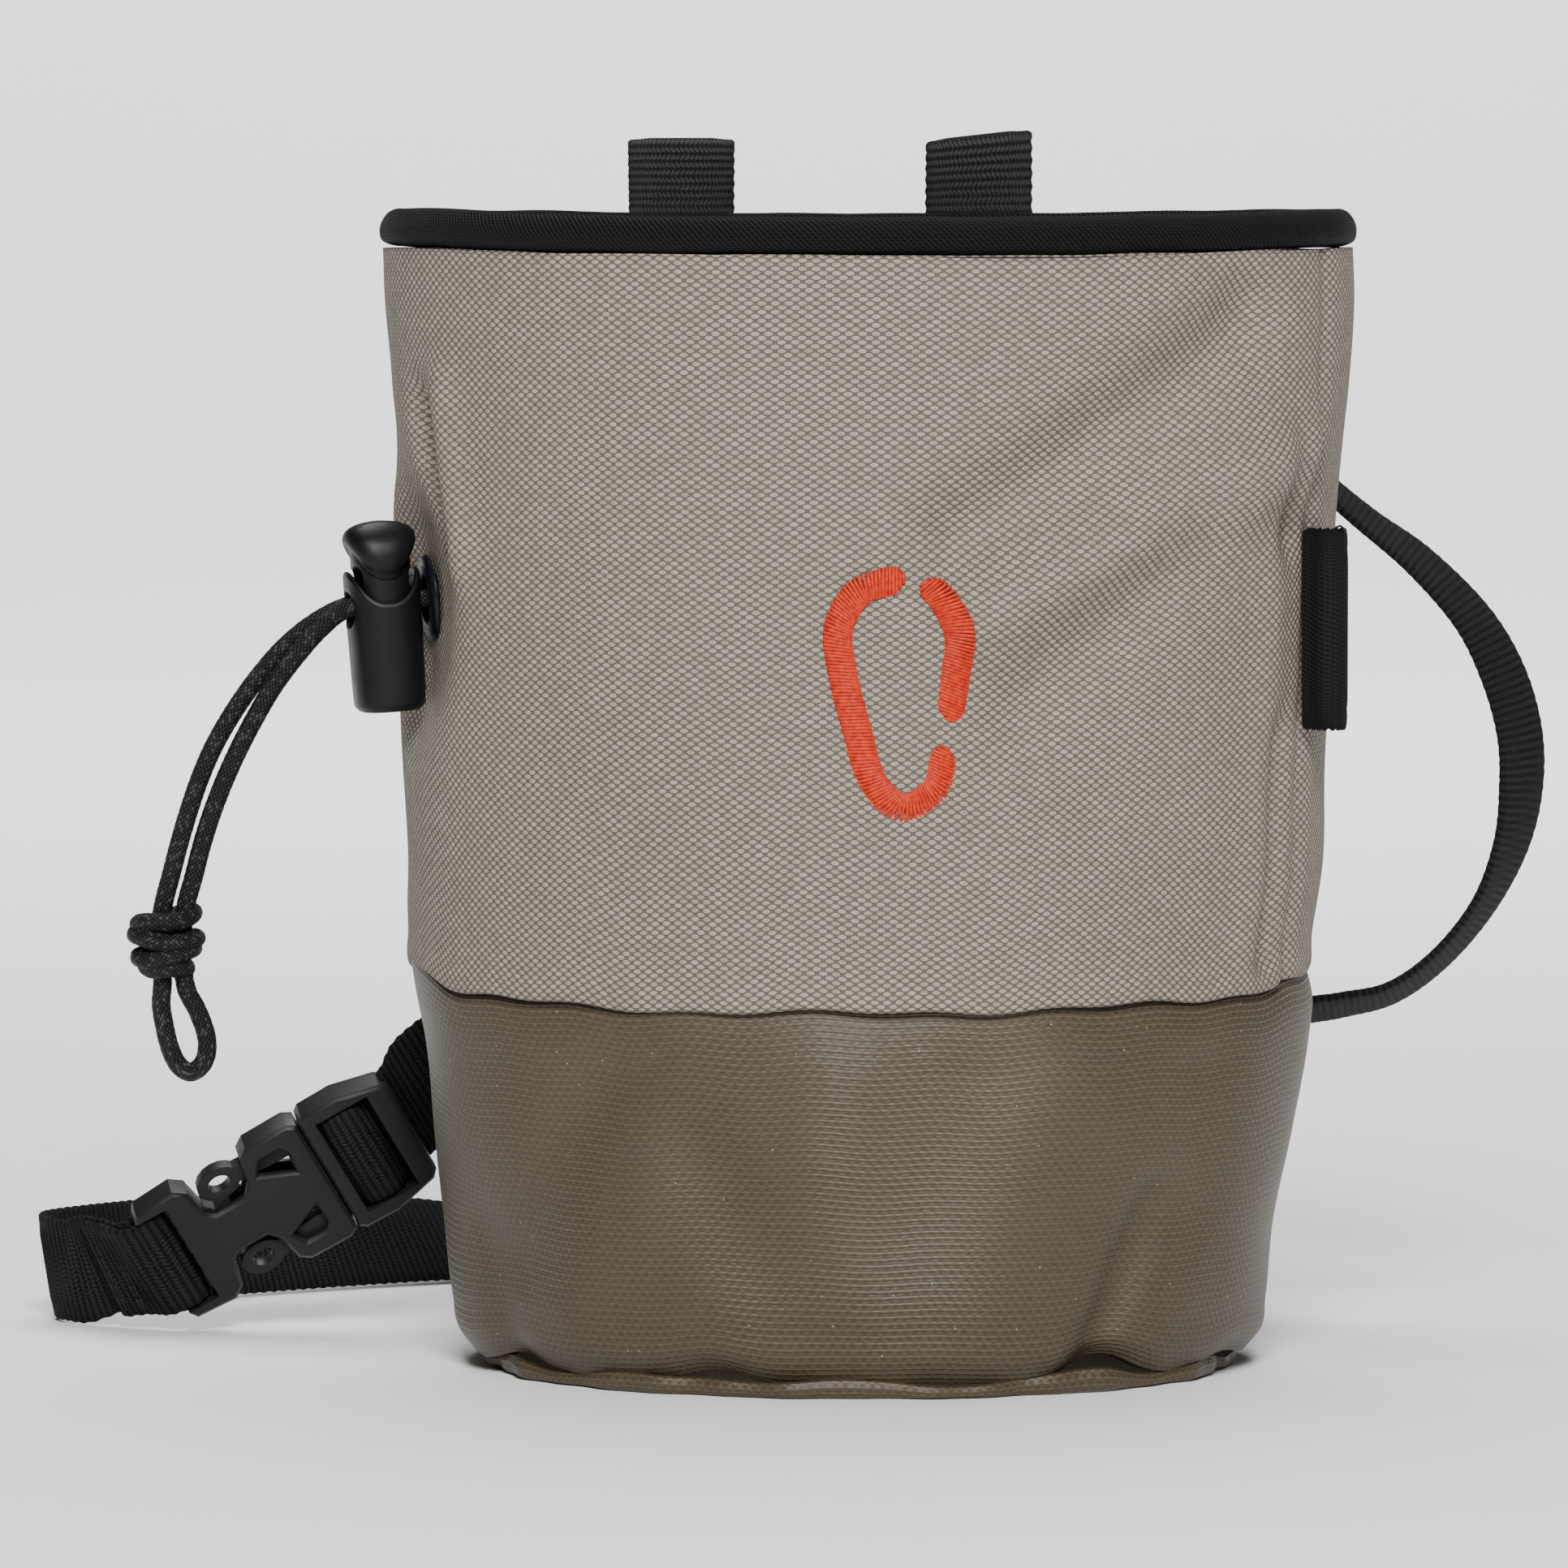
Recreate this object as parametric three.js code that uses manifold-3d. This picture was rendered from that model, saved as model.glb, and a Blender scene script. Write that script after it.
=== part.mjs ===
// A climber's chalk bag standing on its base: a cloth shell with a rolled rim, a drawcord with its
// cord lock, a brush loop, two belt loops and a webbing waist belt closed by a side release buckle.
// Millimetres. +Z is up, -Y is the bag's front, and the origin is the middle of the base.
import * as THREE from 'three';
import { mergeVertices } from 'three/addons/utils/BufferGeometryUtils.js';
import Module from 'manifold-3d';

const wasm = await Module();
wasm.setup();

// The cloth shell
const BAG = { halfWidth: 66.3, halfDepth: 52.5, height: 158 };
const HEM_HEIGHT = 53;
const HEM_DIP = 0.5;
const RIM_DIP = 0.9;
const UPPER_WALL = 2.0;
const LOWER_WALL = 1.8;
const HEM_TUCK = 3.2;
const BASE = { thick: 1.6, margin: 1.4, pucker: 0.5, puckers: 15 };
const BINDING = { tall: 5.0, thick: 3.6, proud: 0.5 };
const CUFF = { wall: 1.2, hem: 3.6, hemTall: 8, around: 34 };
const GAP = 0.3;
const FOLD = { depth: 1.2, reach: 8 };

// Webbing, loops and fittings
const STRAP = { width: 15, thick: 1.3 };
const BELT_LOOP = { thick: 1.4, rise: 9.5, bulge: 8.2, foot: 46, crotch: 30 };
const BELT_HEIGHT = 136;
const BRUSH_LOOP = { tall: 27, reach: 5.2, thick: 1.2, bulge: 1.7, height: 101.4 };
const EYELET = { rim: 5.8, bore: 3.3, tube: 0.6, flange: 1.0, dent: 4.4, height: 105.3 };
const BARREL = { width: 10.2, depth: 11.6, tall: 19.3, wall: 0.8, floor: 1.2, dip: 4.4 };
const CORD_SLOT = { tall: 5.0, wide: 6.6, drop: 4.6 };
const BUTTON = { clear: 0.35, head: 5.9, travel: 3.0, overhang: 0.2 };
const CORD = { diameter: 2.6, sides: 8 };
const BUCKLE = { length: 40.4, width: 19.8, thick: 6, bar: 1.2, rise: 29.5, lean: 20 };

// Each row: rise is a share of the panel's height, left and right are shares of BAG.halfWidth,
// deep is a share of BAG.halfDepth
const UPPER_SECTIONS = [
  { rise: 0.00, left: 0.943, right: 0.905, deep: 0.985 },
  { rise: 0.05, left: 0.952, right: 0.918, deep: 0.990 },
  { rise: 0.14, left: 0.952, right: 0.938, deep: 0.985 },
  { rise: 0.27, left: 0.962, right: 0.943, deep: 0.980 },
  { rise: 0.40, left: 0.970, right: 0.954, deep: 0.980 },
  { rise: 0.52, left: 0.979, right: 0.960, deep: 0.982 },
  { rise: 0.63, left: 0.982, right: 0.966, deep: 0.985 },
  { rise: 0.72, left: 0.982, right: 0.976, deep: 0.987 },
  { rise: 0.82, left: 0.987, right: 0.990, deep: 0.990 },
  { rise: 0.93, left: 0.999, right: 0.998, deep: 0.997 },
  { rise: 1.00, left: 1.000, right: 0.994, deep: 1.000 },
];
const LOWER_SECTIONS = [
  { rise: 0.00, left: 0.815, right: 0.775, deep: 0.895 },
  { rise: 0.05, left: 0.848, right: 0.808, deep: 0.935 },
  { rise: 0.14, left: 0.862, right: 0.820, deep: 0.955 },
  { rise: 0.33, left: 0.876, right: 0.834, deep: 0.968 },
  { rise: 0.58, left: 0.900, right: 0.876, deep: 0.975 },
  { rise: 0.82, left: 0.920, right: 0.903, deep: 0.975 },
  { rise: 0.94, left: 0.932, right: 0.905, deep: 0.970 },
  { rise: 1.00, left: 0.938, right: 0.888, deep: 0.962 },
];

// Folds and dents: each runs from one turn and rise to another. Turns are degrees about +Z from +X,
// rises are shares of the panel's height, depth and reach are shares of FOLD.depth and FOLD.reach,
// and a negative depth is a ridge
const UPPER_FOLDS = [
  { turn: 315, rise: 0.90, toTurn: 283, toRise: 0.70, depth: 1.00, reach: 1.00 },
  { turn: 331, rise: 0.74, toTurn: 286, toRise: 0.60, depth: -1.10, reach: 0.85 },
  { turn: 309, rise: 0.66, toTurn: 290, toRise: 0.47, depth: 0.70, reach: 0.80 },
  { turn: 200, rise: 0.74, toTurn: 205, toRise: 0.62, depth: 2.00, reach: 0.60 },
  { turn: 334, rise: 0.71, toTurn: 334, toRise: 0.64, depth: 1.20, reach: 0.70 },
  { turn: 333, rise: 0.32, toTurn: 333, toRise: 0.05, depth: 0.90, reach: 0.55 },
  { turn: 181, rise: 0.72, toTurn: 186, toRise: 0.70, depth: 0.70, reach: 0.60 },
  { turn: 228, rise: 0.30, toTurn: 250, toRise: 0.10, depth: 0.40, reach: 1.50 },
];
const LOWER_FOLDS = [
  { turn: 222, rise: 0.80, toTurn: 225, toRise: 0.20, depth: 0.70, reach: 0.80 },
  { turn: 247, rise: 0.85, toTurn: 250, toRise: 0.10, depth: -0.50, reach: 1.10 },
  { turn: 268, rise: 0.90, toTurn: 266, toRise: 0.15, depth: 0.60, reach: 0.80 },
  { turn: 290, rise: 0.80, toTurn: 292, toRise: 0.25, depth: -0.40, reach: 1.20 },
  { turn: 312, rise: 0.45, toTurn: 306, toRise: 0.05, depth: 1.60, reach: 0.60 },
  { turn: 205, rise: 0.35, toTurn: 210, toRise: 0.05, depth: 0.90, reach: 0.70 },
];
// Where the hem rides up at the bag's sides, as a share of FOLD.depth
const HEM_CORNERS = [
  { turn: 188, lift: 2.8, spread: 14 },
  { turn: 5, lift: 1.8, spread: 30 },
];
// How far the lower panel's bottom edge lifts off the base, as a share of FOLD.depth
const EDGE_LIFTS = [
  { turn: 208, lift: 1.4, spread: 9 },
  { turn: 248, lift: 1.5, spread: 6 },
  { turn: 307, lift: 2.4, spread: 7 },
  { turn: 338, lift: 1.0, spread: 8 },
  { turn: 30, lift: 1.2, spread: 9 },
  { turn: 95, lift: 1.6, spread: 8 },
  { turn: 150, lift: 1.1, spread: 9 },
];

const AROUND = 54;
const EYELET_TURN = 192;
const SEAM_TURN = 338.5;
const degrees = (value) => value * Math.PI / 180;

function panelRow(sections, rise) {
  const last = sections.length - 1;
  let k = 0;
  while (k < last - 1 && rise > sections[k + 1].rise) k += 1;
  const low = sections[k];
  const high = sections[k + 1];
  const share = THREE.MathUtils.clamp((rise - low.rise) / (high.rise - low.rise), 0, 1);
  const mix = (column) => THREE.MathUtils.lerp(low[column], high[column], share);
  return { left: mix('left'), right: mix('right'), deep: mix('deep') };
}

// The depth of all folds at a place, worked out on the unrolled wall
function foldDepth(folds, tall, turn, rise) {
  const perDegree = degrees(1) * (BAG.halfWidth + BAG.halfDepth) / 2;
  let depth = 0;
  for (const fold of folds) {
    const away = (to) => THREE.MathUtils.euclideanModulo(to - turn + 180, 360) - 180;
    const from = new THREE.Vector2(away(fold.turn) * perDegree, (fold.rise - rise) * tall);
    const to = new THREE.Vector2(away(fold.toTurn) * perDegree, (fold.toRise - rise) * tall);
    const run = to.clone().sub(from);
    const along = THREE.MathUtils.clamp(-from.dot(run) / run.lengthSq(), 0, 1);
    const distance = from.addScaledVector(run, along).length() / (fold.reach * FOLD.reach);
    depth += fold.depth * FOLD.depth * Math.exp(-distance * distance);
  }
  return depth;
}

// The flat bottomed dent round the eyelet, which pulls the wall in
function eyeletDent(turn, height) {
  const perDegree = degrees(1) * BAG.halfWidth;
  const across = (turn - EYELET_TURN) * perDegree;
  const off = height - EYELET.height;
  const distance = Math.hypot(across, off * (off < 0 ? 0.6 : 0.75)) / (2 * EYELET.rim);
  return EYELET.dent * Math.exp(-(distance ** 4));
}

function wallPoint(row, turn, height, sunk) {
  const angle = degrees(turn);
  const halfWidth = BAG.halfWidth * (Math.cos(angle) < 0 ? row.left : row.right);
  const halfDepth = BAG.halfDepth * row.deep;
  const outward = new THREE.Vector2(Math.cos(angle) / halfWidth, Math.sin(angle) / halfDepth).normalize();
  return new THREE.Vector3(
    halfWidth * Math.cos(angle) - outward.x * sunk,
    halfDepth * Math.sin(angle) - outward.y * sunk,
    height,
  );
}

// How far the rows of a table raise an edge at a turn
function raisedAt(rows, turn) {
  let lift = 0;
  for (const row of rows) {
    const away = THREE.MathUtils.euclideanModulo(row.turn - turn + 180, 360) - 180;
    lift += row.lift * FOLD.depth * Math.exp(-((away / row.spread) ** 2));
  }
  return lift;
}

function hemDip(turn) {
  return HEM_DIP * ((1 - Math.sin(degrees(turn))) / 2) ** 2 - raisedAt(HEM_CORNERS, turn);
}
const rimDip = (turn) => RIM_DIP * Math.sin(degrees(turn)) ** 2;
const PANEL_TOP = BAG.height - BINDING.tall - GAP;
const UPPER_TALL = PANEL_TOP - HEM_HEIGHT;

function upperPoint(turn, rise, inset) {
  const height = HEM_HEIGHT + rise * UPPER_TALL - hemDip(turn) * (1 - rise) - rimDip(turn) * rise;
  const sunk = inset + foldDepth(UPPER_FOLDS, UPPER_TALL, turn, rise) + eyeletDent(turn, height);
  return wallPoint(panelRow(UPPER_SECTIONS, rise), turn, height, sunk);
}

const LOWER_BOTTOM = BASE.thick + GAP;
const LOWER_TOP = HEM_HEIGHT - 0.9;

function lowerPoint(turn, rise, inset) {
  const tall = LOWER_TOP - LOWER_BOTTOM;
  const raised = raisedAt(EDGE_LIFTS, turn) * (1 - rise) ** 6;
  const height = LOWER_BOTTOM + rise * tall - hemDip(turn) * rise + raised;
  const sunk = inset + foldDepth(LOWER_FOLDS, tall, turn, rise) * Math.min(1, (1 - rise) * 6);
  return wallPoint(panelRow(LOWER_SECTIONS, rise), turn, height, sunk);
}

// Solid makers: a loft through rings of points, and a swept strip
function meshFrom(points, faces) {
  const geometry = new THREE.BufferGeometry();
  geometry.setAttribute('position', new THREE.Float32BufferAttribute(points.flatMap((p) => [p.x, p.y, p.z]), 3));
  geometry.setIndex(faces.flat());
  return outward(geometry);
}

function signedVolume(geometry) {
  const position = geometry.getAttribute('position');
  const index = geometry.getIndex();
  const corner = [new THREE.Vector3(), new THREE.Vector3(), new THREE.Vector3()];
  let volume = 0;
  for (let k = 0; k < index.count; k += 3) {
    corner.forEach((point, j) => point.fromBufferAttribute(position, index.getX(k + j)));
    volume += corner[0].dot(corner[1].cross(corner[2])) / 6;
  }
  return volume;
}

function outward(geometry) {
  if (signedVolume(geometry) < 0) {
    const index = geometry.getIndex();
    for (let k = 0; k < index.count; k += 3) {
      const second = index.getX(k + 1);
      index.setX(k + 1, index.getX(k + 2));
      index.setX(k + 2, second);
    }
  }
  return geometry;
}

// ends is 'joined' where the last ring meets the first one, or 'capped' where both ends are closed
function loft(rings, ends) {
  const around = rings[0].length;
  const points = rings.flat();
  const faces = [];
  const bands = ends === 'joined' ? rings.length : rings.length - 1;
  for (let band = 0; band < bands; band += 1) {
    const low = band * around;
    const high = ((band + 1) % rings.length) * around;
    for (let k = 0; k < around; k += 1) {
      const next = (k + 1) % around;
      faces.push([low + k, low + next, high + next], [low + k, high + next, high + k]);
    }
  }
  if (ends === 'capped') {
    for (const [ring, start] of [[rings[0], 0], [rings.at(-1), points.length - around]]) {
      const middle = new THREE.Vector3();
      ring.forEach((point) => middle.addScaledVector(point, 1 / around));
      const centre = points.push(middle) - 1;
      for (let k = 0; k < around; k += 1) {
        const next = (k + 1) % around;
        faces.push(start === 0 ? [centre, start + next, start + k] : [centre, start + k, start + next]);
      }
    }
  }
  return meshFrom(points, faces);
}

function ring(pointAt, count = AROUND) {
  return Array.from({ length: count }, (_, k) => pointAt(k * 360 / count));
}

function toManifold(geometry) {
  const bare = geometry.clone();
  bare.deleteAttribute('normal');
  bare.deleteAttribute('uv');
  const merged = mergeVertices(bare, 1e-4);
  return new wasm.Manifold(new wasm.Mesh({
    numProp: 3,
    vertProperties: new Float32Array(merged.getAttribute('position').array),
    triVerts: new Uint32Array(merged.getIndex().array),
  }));
}

function fromManifold(solid) {
  const mesh = solid.getMesh();
  const geometry = new THREE.BufferGeometry();
  geometry.setAttribute('position', new THREE.Float32BufferAttribute(mesh.vertProperties, 3));
  geometry.setIndex(new THREE.Uint32BufferAttribute(mesh.triVerts, 1));
  return geometry;
}

const cut = (geometry, ...tools) => fromManifold(
  tools.reduce((solid, tool) => solid.subtract(toManifold(tool)), toManifold(geometry)),
);
const join = (...geometries) => fromManifold(
  geometries.slice(1).reduce((solid, piece) => solid.add(toManifold(piece)), toManifold(geometries[0])),
);

// A strap swept through rows of a centre and the direction of its width
function strip(rows, width, thick, steps) {
  const half = width / 2;
  const edge = (side) => new THREE.CatmullRomCurve3(
    rows.map((row) => row.at.clone().addScaledVector(row.wide, side * half)), false, 'catmullrom', 0.5,
  );
  const low = edge(-1);
  const high = edge(1);
  const count = (rows.length - 1) * steps;
  const rings = [];
  for (let k = 0; k <= count; k += 1) {
    const share = k / count;
    const a = low.getPoint(share);
    const b = high.getPoint(share);
    const run = low.getTangent(share).add(high.getTangent(share));
    const wide = b.clone().sub(a).normalize();
    const up = run.cross(wide).normalize().multiplyScalar(thick / 2);
    const middle = a.clone().add(b).multiplyScalar(0.5);
    const reach = wide.multiplyScalar(half);
    rings.push([
      middle.clone().sub(reach).sub(up),
      middle.clone().add(reach).sub(up),
      middle.clone().add(reach).add(up),
      middle.clone().sub(reach).add(up),
    ]);
  }
  return loft(rings, 'capped');
}

const bag = new THREE.Group();

function addMesh(name, geometry, colour, roughness, metalness = 0) {
  const material = new THREE.MeshStandardMaterial({ color: colour, roughness, metalness });
  const mesh = new THREE.Mesh(geometry, material);
  mesh.name = name;
  bag.add(mesh);
  return mesh;
}

const CLOTH = { upper: 0x9c9488, lower: 0x6b6050, black: 0x1b1b1e };
const PLASTIC = 0x232326;

// Where the eyelet sits: its middle on the outer wall, and its axis, which looks outwards
const eyeletAt = wallPoint(
  panelRow(UPPER_SECTIONS, (EYELET.height - HEM_HEIGHT) / UPPER_TALL), EYELET_TURN, EYELET.height, EYELET.dent,
);
const EYELET_AIM = { turn: 13, drop: 6 };
const eyeletAxis = new THREE.Vector3(
  -Math.cos(degrees(EYELET_AIM.turn)) * Math.cos(degrees(EYELET_AIM.drop)),
  -Math.sin(degrees(EYELET_AIM.turn)) * Math.cos(degrees(EYELET_AIM.drop)),
  -Math.sin(degrees(EYELET_AIM.drop)),
);

// A disc along the eyelet's axis, from one distance outside the wall's face to another
function eyeletDisc(radius, from, to, sides = 20) {
  const disc = new THREE.CylinderGeometry(radius, radius, to - from, sides);
  disc.applyQuaternion(new THREE.Quaternion().setFromUnitVectors(new THREE.Vector3(0, 1, 0), eyeletAxis));
  const middle = eyeletAt.clone().addScaledVector(eyeletAxis, (from + to) / 2);
  disc.translate(middle.x, middle.y, middle.z);
  return disc;
}

// Upper panel: a padded wall from the hem to the binding, pierced by the eyelet
function upperPanel() {
  const rises = UPPER_SECTIONS.map((row) => row.rise);
  const outer = rises.map((rise) => ring((turn) => upperPoint(turn, rise, 0)));
  const inner = rises.map((rise) => ring((turn) => upperPoint(turn, rise, UPPER_WALL))).reverse();
  const clear = 2 * EYELET.rim;
  return cut(
    loft([...outer, ...inner], 'joined'),
    eyeletDisc(EYELET.bore + EYELET.tube + GAP, -clear, clear),
    eyeletDisc(EYELET.rim + GAP, 0, clear),
    eyeletDisc(EYELET.rim + GAP, -clear, -UPPER_WALL),
  );
}
addMesh('upper_panel', upperPanel(), CLOTH.upper, 0.9);

// Lower panel: a coated wall whose top edge is tucked behind the upper panel's hem
function lowerPanel() {
  const rises = LOWER_SECTIONS.map((row) => row.rise);
  const tucked = (share, inset) => ring((turn) => {
    const point = upperPoint(turn, 0, UPPER_WALL + 2 * GAP + inset);
    const up = upperPoint(turn, HEM_TUCK / UPPER_TALL, UPPER_WALL + 2 * GAP + inset);
    point.z -= GAP;
    return point.lerp(up, share);
  });
  const outer = rises.map((rise) => ring((turn) => lowerPoint(turn, rise, 0)));
  const inner = rises.map((rise) => ring((turn) => lowerPoint(turn, rise, LOWER_WALL))).reverse();
  return loft([
    ...outer, tucked(0, 0), tucked(1, 0), tucked(1, LOWER_WALL), ...inner,
  ], 'joined');
}
addMesh('lower_panel', lowerPanel(), CLOTH.lower, 0.75);

// Base panel: a flat disc with a puckered seam edge, under the lower panel's edge
function basePanel() {
  const edge = (inset, height) => ring((turn) => {
    const row = LOWER_SECTIONS[0];
    const wave = BASE.pucker * Math.sin(degrees(turn) * BASE.puckers);
    return wallPoint(row, turn, height, inset + wave - BASE.margin);
  });
  return loft([edge(1.2, 0), edge(0, BASE.thick * 0.4), edge(0.5, BASE.thick)], 'capped');
}
addMesh('base_panel', basePanel(), CLOTH.lower, 0.8);

// Rim binding: rolled tape that sits on the upper panel's top edge
function rimBinding() {
  const section = [
    { out: 0.55, up: 0.00 }, { out: 0.95, up: 0.16 }, { out: 1.00, up: 0.55 }, { out: 0.72, up: 0.90 },
    { out: 0.30, up: 1.00 }, { out: 0.04, up: 0.80 }, { out: 0.00, up: 0.30 }, { out: 0.20, up: 0.00 },
  ];
  const row = panelRow(UPPER_SECTIONS, 1);
  const bottom = PANEL_TOP + GAP;
  return loft(section.map((corner) => ring((turn) => {
    const inset = BINDING.thick * (1 - corner.out) - BINDING.proud;
    return wallPoint(row, turn, bottom + corner.up * BINDING.tall - rimDip(turn), inset);
  })), 'joined');
}
addMesh('rim_binding', rimBinding(), CLOTH.black, 0.85);

// Inner cuff: a plain sleeve inside the mouth, with the hem that the drawcord runs in
function innerCuff() {
  const clear = UPPER_WALL + 3 * GAP;
  const behindEyelet = UPPER_WALL + EYELET.flange + 6 * GAP;
  const hemTop = (EYELET.height + CUFF.hemTall / 2 - HEM_HEIGHT) / UPPER_TALL;
  const hemBottom = (EYELET.height - CUFF.hemTall / 2 - HEM_HEIGHT) / UPPER_TALL;
  const hemMiddle = (hemTop + hemBottom) / 2;
  const rows = [
    { rise: 0.99, inset: clear },
    { rise: 0.82, inset: clear },
    { rise: 0.68, inset: behindEyelet },
    { rise: hemTop, inset: behindEyelet },
    { rise: hemBottom, inset: behindEyelet },
    { rise: hemBottom - 0.01, inset: behindEyelet + CUFF.wall },
    { rise: hemMiddle, inset: behindEyelet + CUFF.hem },
    { rise: hemTop, inset: behindEyelet + CUFF.wall },
    { rise: 0.68, inset: behindEyelet + CUFF.wall },
    { rise: 0.82, inset: clear + CUFF.wall },
    { rise: 0.99, inset: clear + CUFF.wall },
  ];
  return loft(rows.map((row) => ring((turn) => upperPoint(turn, row.rise, row.inset), CUFF.around)), 'joined');
}
addMesh('inner_cuff', innerCuff(), CLOTH.black, 0.95);

// The outer face of the upper panel's back at a distance across it, and how much further than its
// thickness a layer on it reaches back, because the wall slants there
function backWall(across, height) {
  const row = panelRow(UPPER_SECTIONS, (height - HEM_HEIGHT) / UPPER_TALL);
  const halfWidth = BAG.halfWidth * (across < 0 ? row.left : row.right);
  const halfDepth = BAG.halfDepth * row.deep;
  const back = halfDepth * Math.sqrt(1 - (across / halfWidth) ** 2);
  const slope = (across / halfWidth ** 2) / (back / halfDepth ** 2);
  return { back, stretch: Math.hypot(1, slope) };
}

// Belt loops: webbing folded over beside the rim, both ends sewn to the back of the bag.
// Each row: down is a share of BELT_LOOP.foot below the rim, off is the side it lies on, and
// follow says how closely the webbing follows the curved wall
const LOOP_TOP = BAG.height + BELT_LOOP.rise;
const sewnOff = 4.3 * GAP + BELT_LOOP.thick / 2;
const outerSewnOff = sewnOff + BELT_LOOP.thick + GAP;
const overBinding = BINDING.proud + sewnOff;
const LOOP_ROWS = [
  { height: LOOP_TOP - BELT_LOOP.foot - BELT_LOOP.rise, off: sewnOff, follow: 1 },
  { height: BAG.height - BELT_LOOP.crotch, off: sewnOff, follow: 1 },
  { height: PANEL_TOP - 3 * GAP, off: sewnOff, follow: 1 },
  { height: PANEL_TOP + BINDING.tall / 2, off: overBinding, follow: 1 },
  { height: BAG.height + BELT_LOOP.rise * 0.45, off: overBinding + GAP, follow: 0.6 },
  { height: LOOP_TOP - 1.1, off: overBinding + BELT_LOOP.bulge * 0.16, follow: 0.4 },
  { height: LOOP_TOP - BELT_LOOP.thick / 2, off: overBinding + BELT_LOOP.bulge * 0.38, follow: 0.4 },
  { height: LOOP_TOP - 1.4, off: overBinding + BELT_LOOP.bulge * 0.62, follow: 0.4 },
  { height: BAG.height + BELT_LOOP.rise * 0.35, off: overBinding + BELT_LOOP.bulge * 0.8, follow: 0.5 },
  { height: BAG.height - BELT_LOOP.crotch * 0.3, off: outerSewnOff + BELT_LOOP.bulge * 0.82, follow: 0.7 },
  { height: BAG.height - BELT_LOOP.crotch * 0.65, off: outerSewnOff + BELT_LOOP.bulge * 0.72, follow: 0.8 },
  { height: BAG.height - BELT_LOOP.crotch, off: outerSewnOff + BELT_LOOP.bulge * 0.3, follow: 1 },
  { height: BAG.height - BELT_LOOP.crotch * 1.17, off: outerSewnOff, follow: 1 },
  { height: BAG.height - BELT_LOOP.foot * 0.97, off: outerSewnOff, follow: 1 },
];
const BELT_LOOPS = [
  { name: 'belt_loop_left', across: -0.394, skew: 0, lift: 0 },
  { name: 'belt_loop_right', across: 0.241, skew: 0.12, lift: 0.6 },
];
for (const item of BELT_LOOPS) {
  const across = item.across * BAG.halfWidth;
  const half = STRAP.width / 2;
  const rows = LOOP_ROWS.map((row) => {
    const wall = (x) => backWall(x, Math.min(row.height, PANEL_TOP));
    const edge = (side) => {
      const x = across + side * half;
      const near = wall(x);
      const y = THREE.MathUtils.lerp(wall(across).back, near.back, row.follow) + row.off * near.stretch;
      const raised = Math.max(0, row.height - BAG.height) / BELT_LOOP.rise;
      return new THREE.Vector3(x, y, row.height + raised * (item.lift + item.skew * side * half));
    };
    const wide = edge(1).sub(edge(-1)).normalize();
    return { at: edge(1).add(edge(-1)).multiplyScalar(0.5), wide };
  });
  addMesh(item.name, strip(rows, STRAP.width, BELT_LOOP.thick, 2), CLOTH.black, 0.8);
}

// Brush loop: folded elastic that stands out from the right side seam
function brushLoop() {
  const rows = [
    { out: 0.05, side: 0.62 }, { out: 0.35, side: 0.80 }, { out: 0.68, side: 1.25 }, { out: 0.88, side: 1.12 },
    { out: 1.00, side: 0.45 },
  ];
  const half = BRUSH_LOOP.thick / 2;
  const outline = [...rows.map((row) => [row.out, row.side]), ...rows.map((row) => [row.out, -row.side]).reverse()]
    .map(([out, side]) => new THREE.Vector3(out * BRUSH_LOOP.reach, side * BRUSH_LOOP.bulge, 0));
  const path = new THREE.CatmullRomCurve3(outline, false, 'catmullrom', 0.5);
  const count = 14;
  const outer = [];
  const inner = [];
  for (let k = 0; k <= count; k += 1) {
    const point = path.getPoint(k / count);
    const run = path.getTangent(k / count);
    outer.push(new THREE.Vector2(point.x + run.y * half, point.y - run.x * half));
    inner.push(new THREE.Vector2(point.x - run.y * half, point.y + run.x * half));
  }
  const shape = new THREE.Shape([...outer, ...inner.reverse()]);
  return new THREE.ExtrudeGeometry(shape, { depth: BRUSH_LOOP.tall, bevelEnabled: false });
}
const seamRise = (BRUSH_LOOP.height - HEM_HEIGHT) / UPPER_TALL;
const seamAt = upperPoint(SEAM_TURN, seamRise, -GAP * 2);
const seamBeside = upperPoint(SEAM_TURN + 1, seamRise, -GAP * 2);
const brushTurn = Math.atan2(seamBeside.y - seamAt.y, seamBeside.x - seamAt.x) - Math.PI / 2;
const brushLoopMesh = addMesh('brush_loop', brushLoop(), CLOTH.black, 0.9);
brushLoopMesh.position.set(seamAt.x, seamAt.y, BRUSH_LOOP.height - BRUSH_LOOP.tall / 2);
brushLoopMesh.rotation.z = brushTurn;

// Eyelet: two flanges and the tube between them, one turned body
function eyelet() {
  const tubeOut = EYELET.bore + EYELET.tube;
  const inside = -UPPER_WALL - GAP;
  const profile = [
    [EYELET.bore, inside - EYELET.flange], [EYELET.rim * 0.82, inside - EYELET.flange], [EYELET.rim * 0.82, inside],
    [tubeOut, inside], [tubeOut, GAP], [EYELET.rim, GAP], [EYELET.rim, GAP + EYELET.flange * 0.5],
    [EYELET.rim * 0.86, GAP + EYELET.flange], [EYELET.bore * 1.25, GAP + EYELET.flange],
    [EYELET.bore, GAP + EYELET.flange * 0.6], [EYELET.bore, inside - EYELET.flange],
  ];
  return new THREE.LatheGeometry(profile.map(([x, y]) => new THREE.Vector2(x, y)), 16);
}
const eyeletMesh = addMesh('eyelet', eyelet(), 0x2a2c33, 0.35, 0.8);
eyeletMesh.quaternion.setFromUnitVectors(new THREE.Vector3(0, 1, 0), eyeletAxis);
eyeletMesh.position.copy(eyeletAt);

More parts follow.
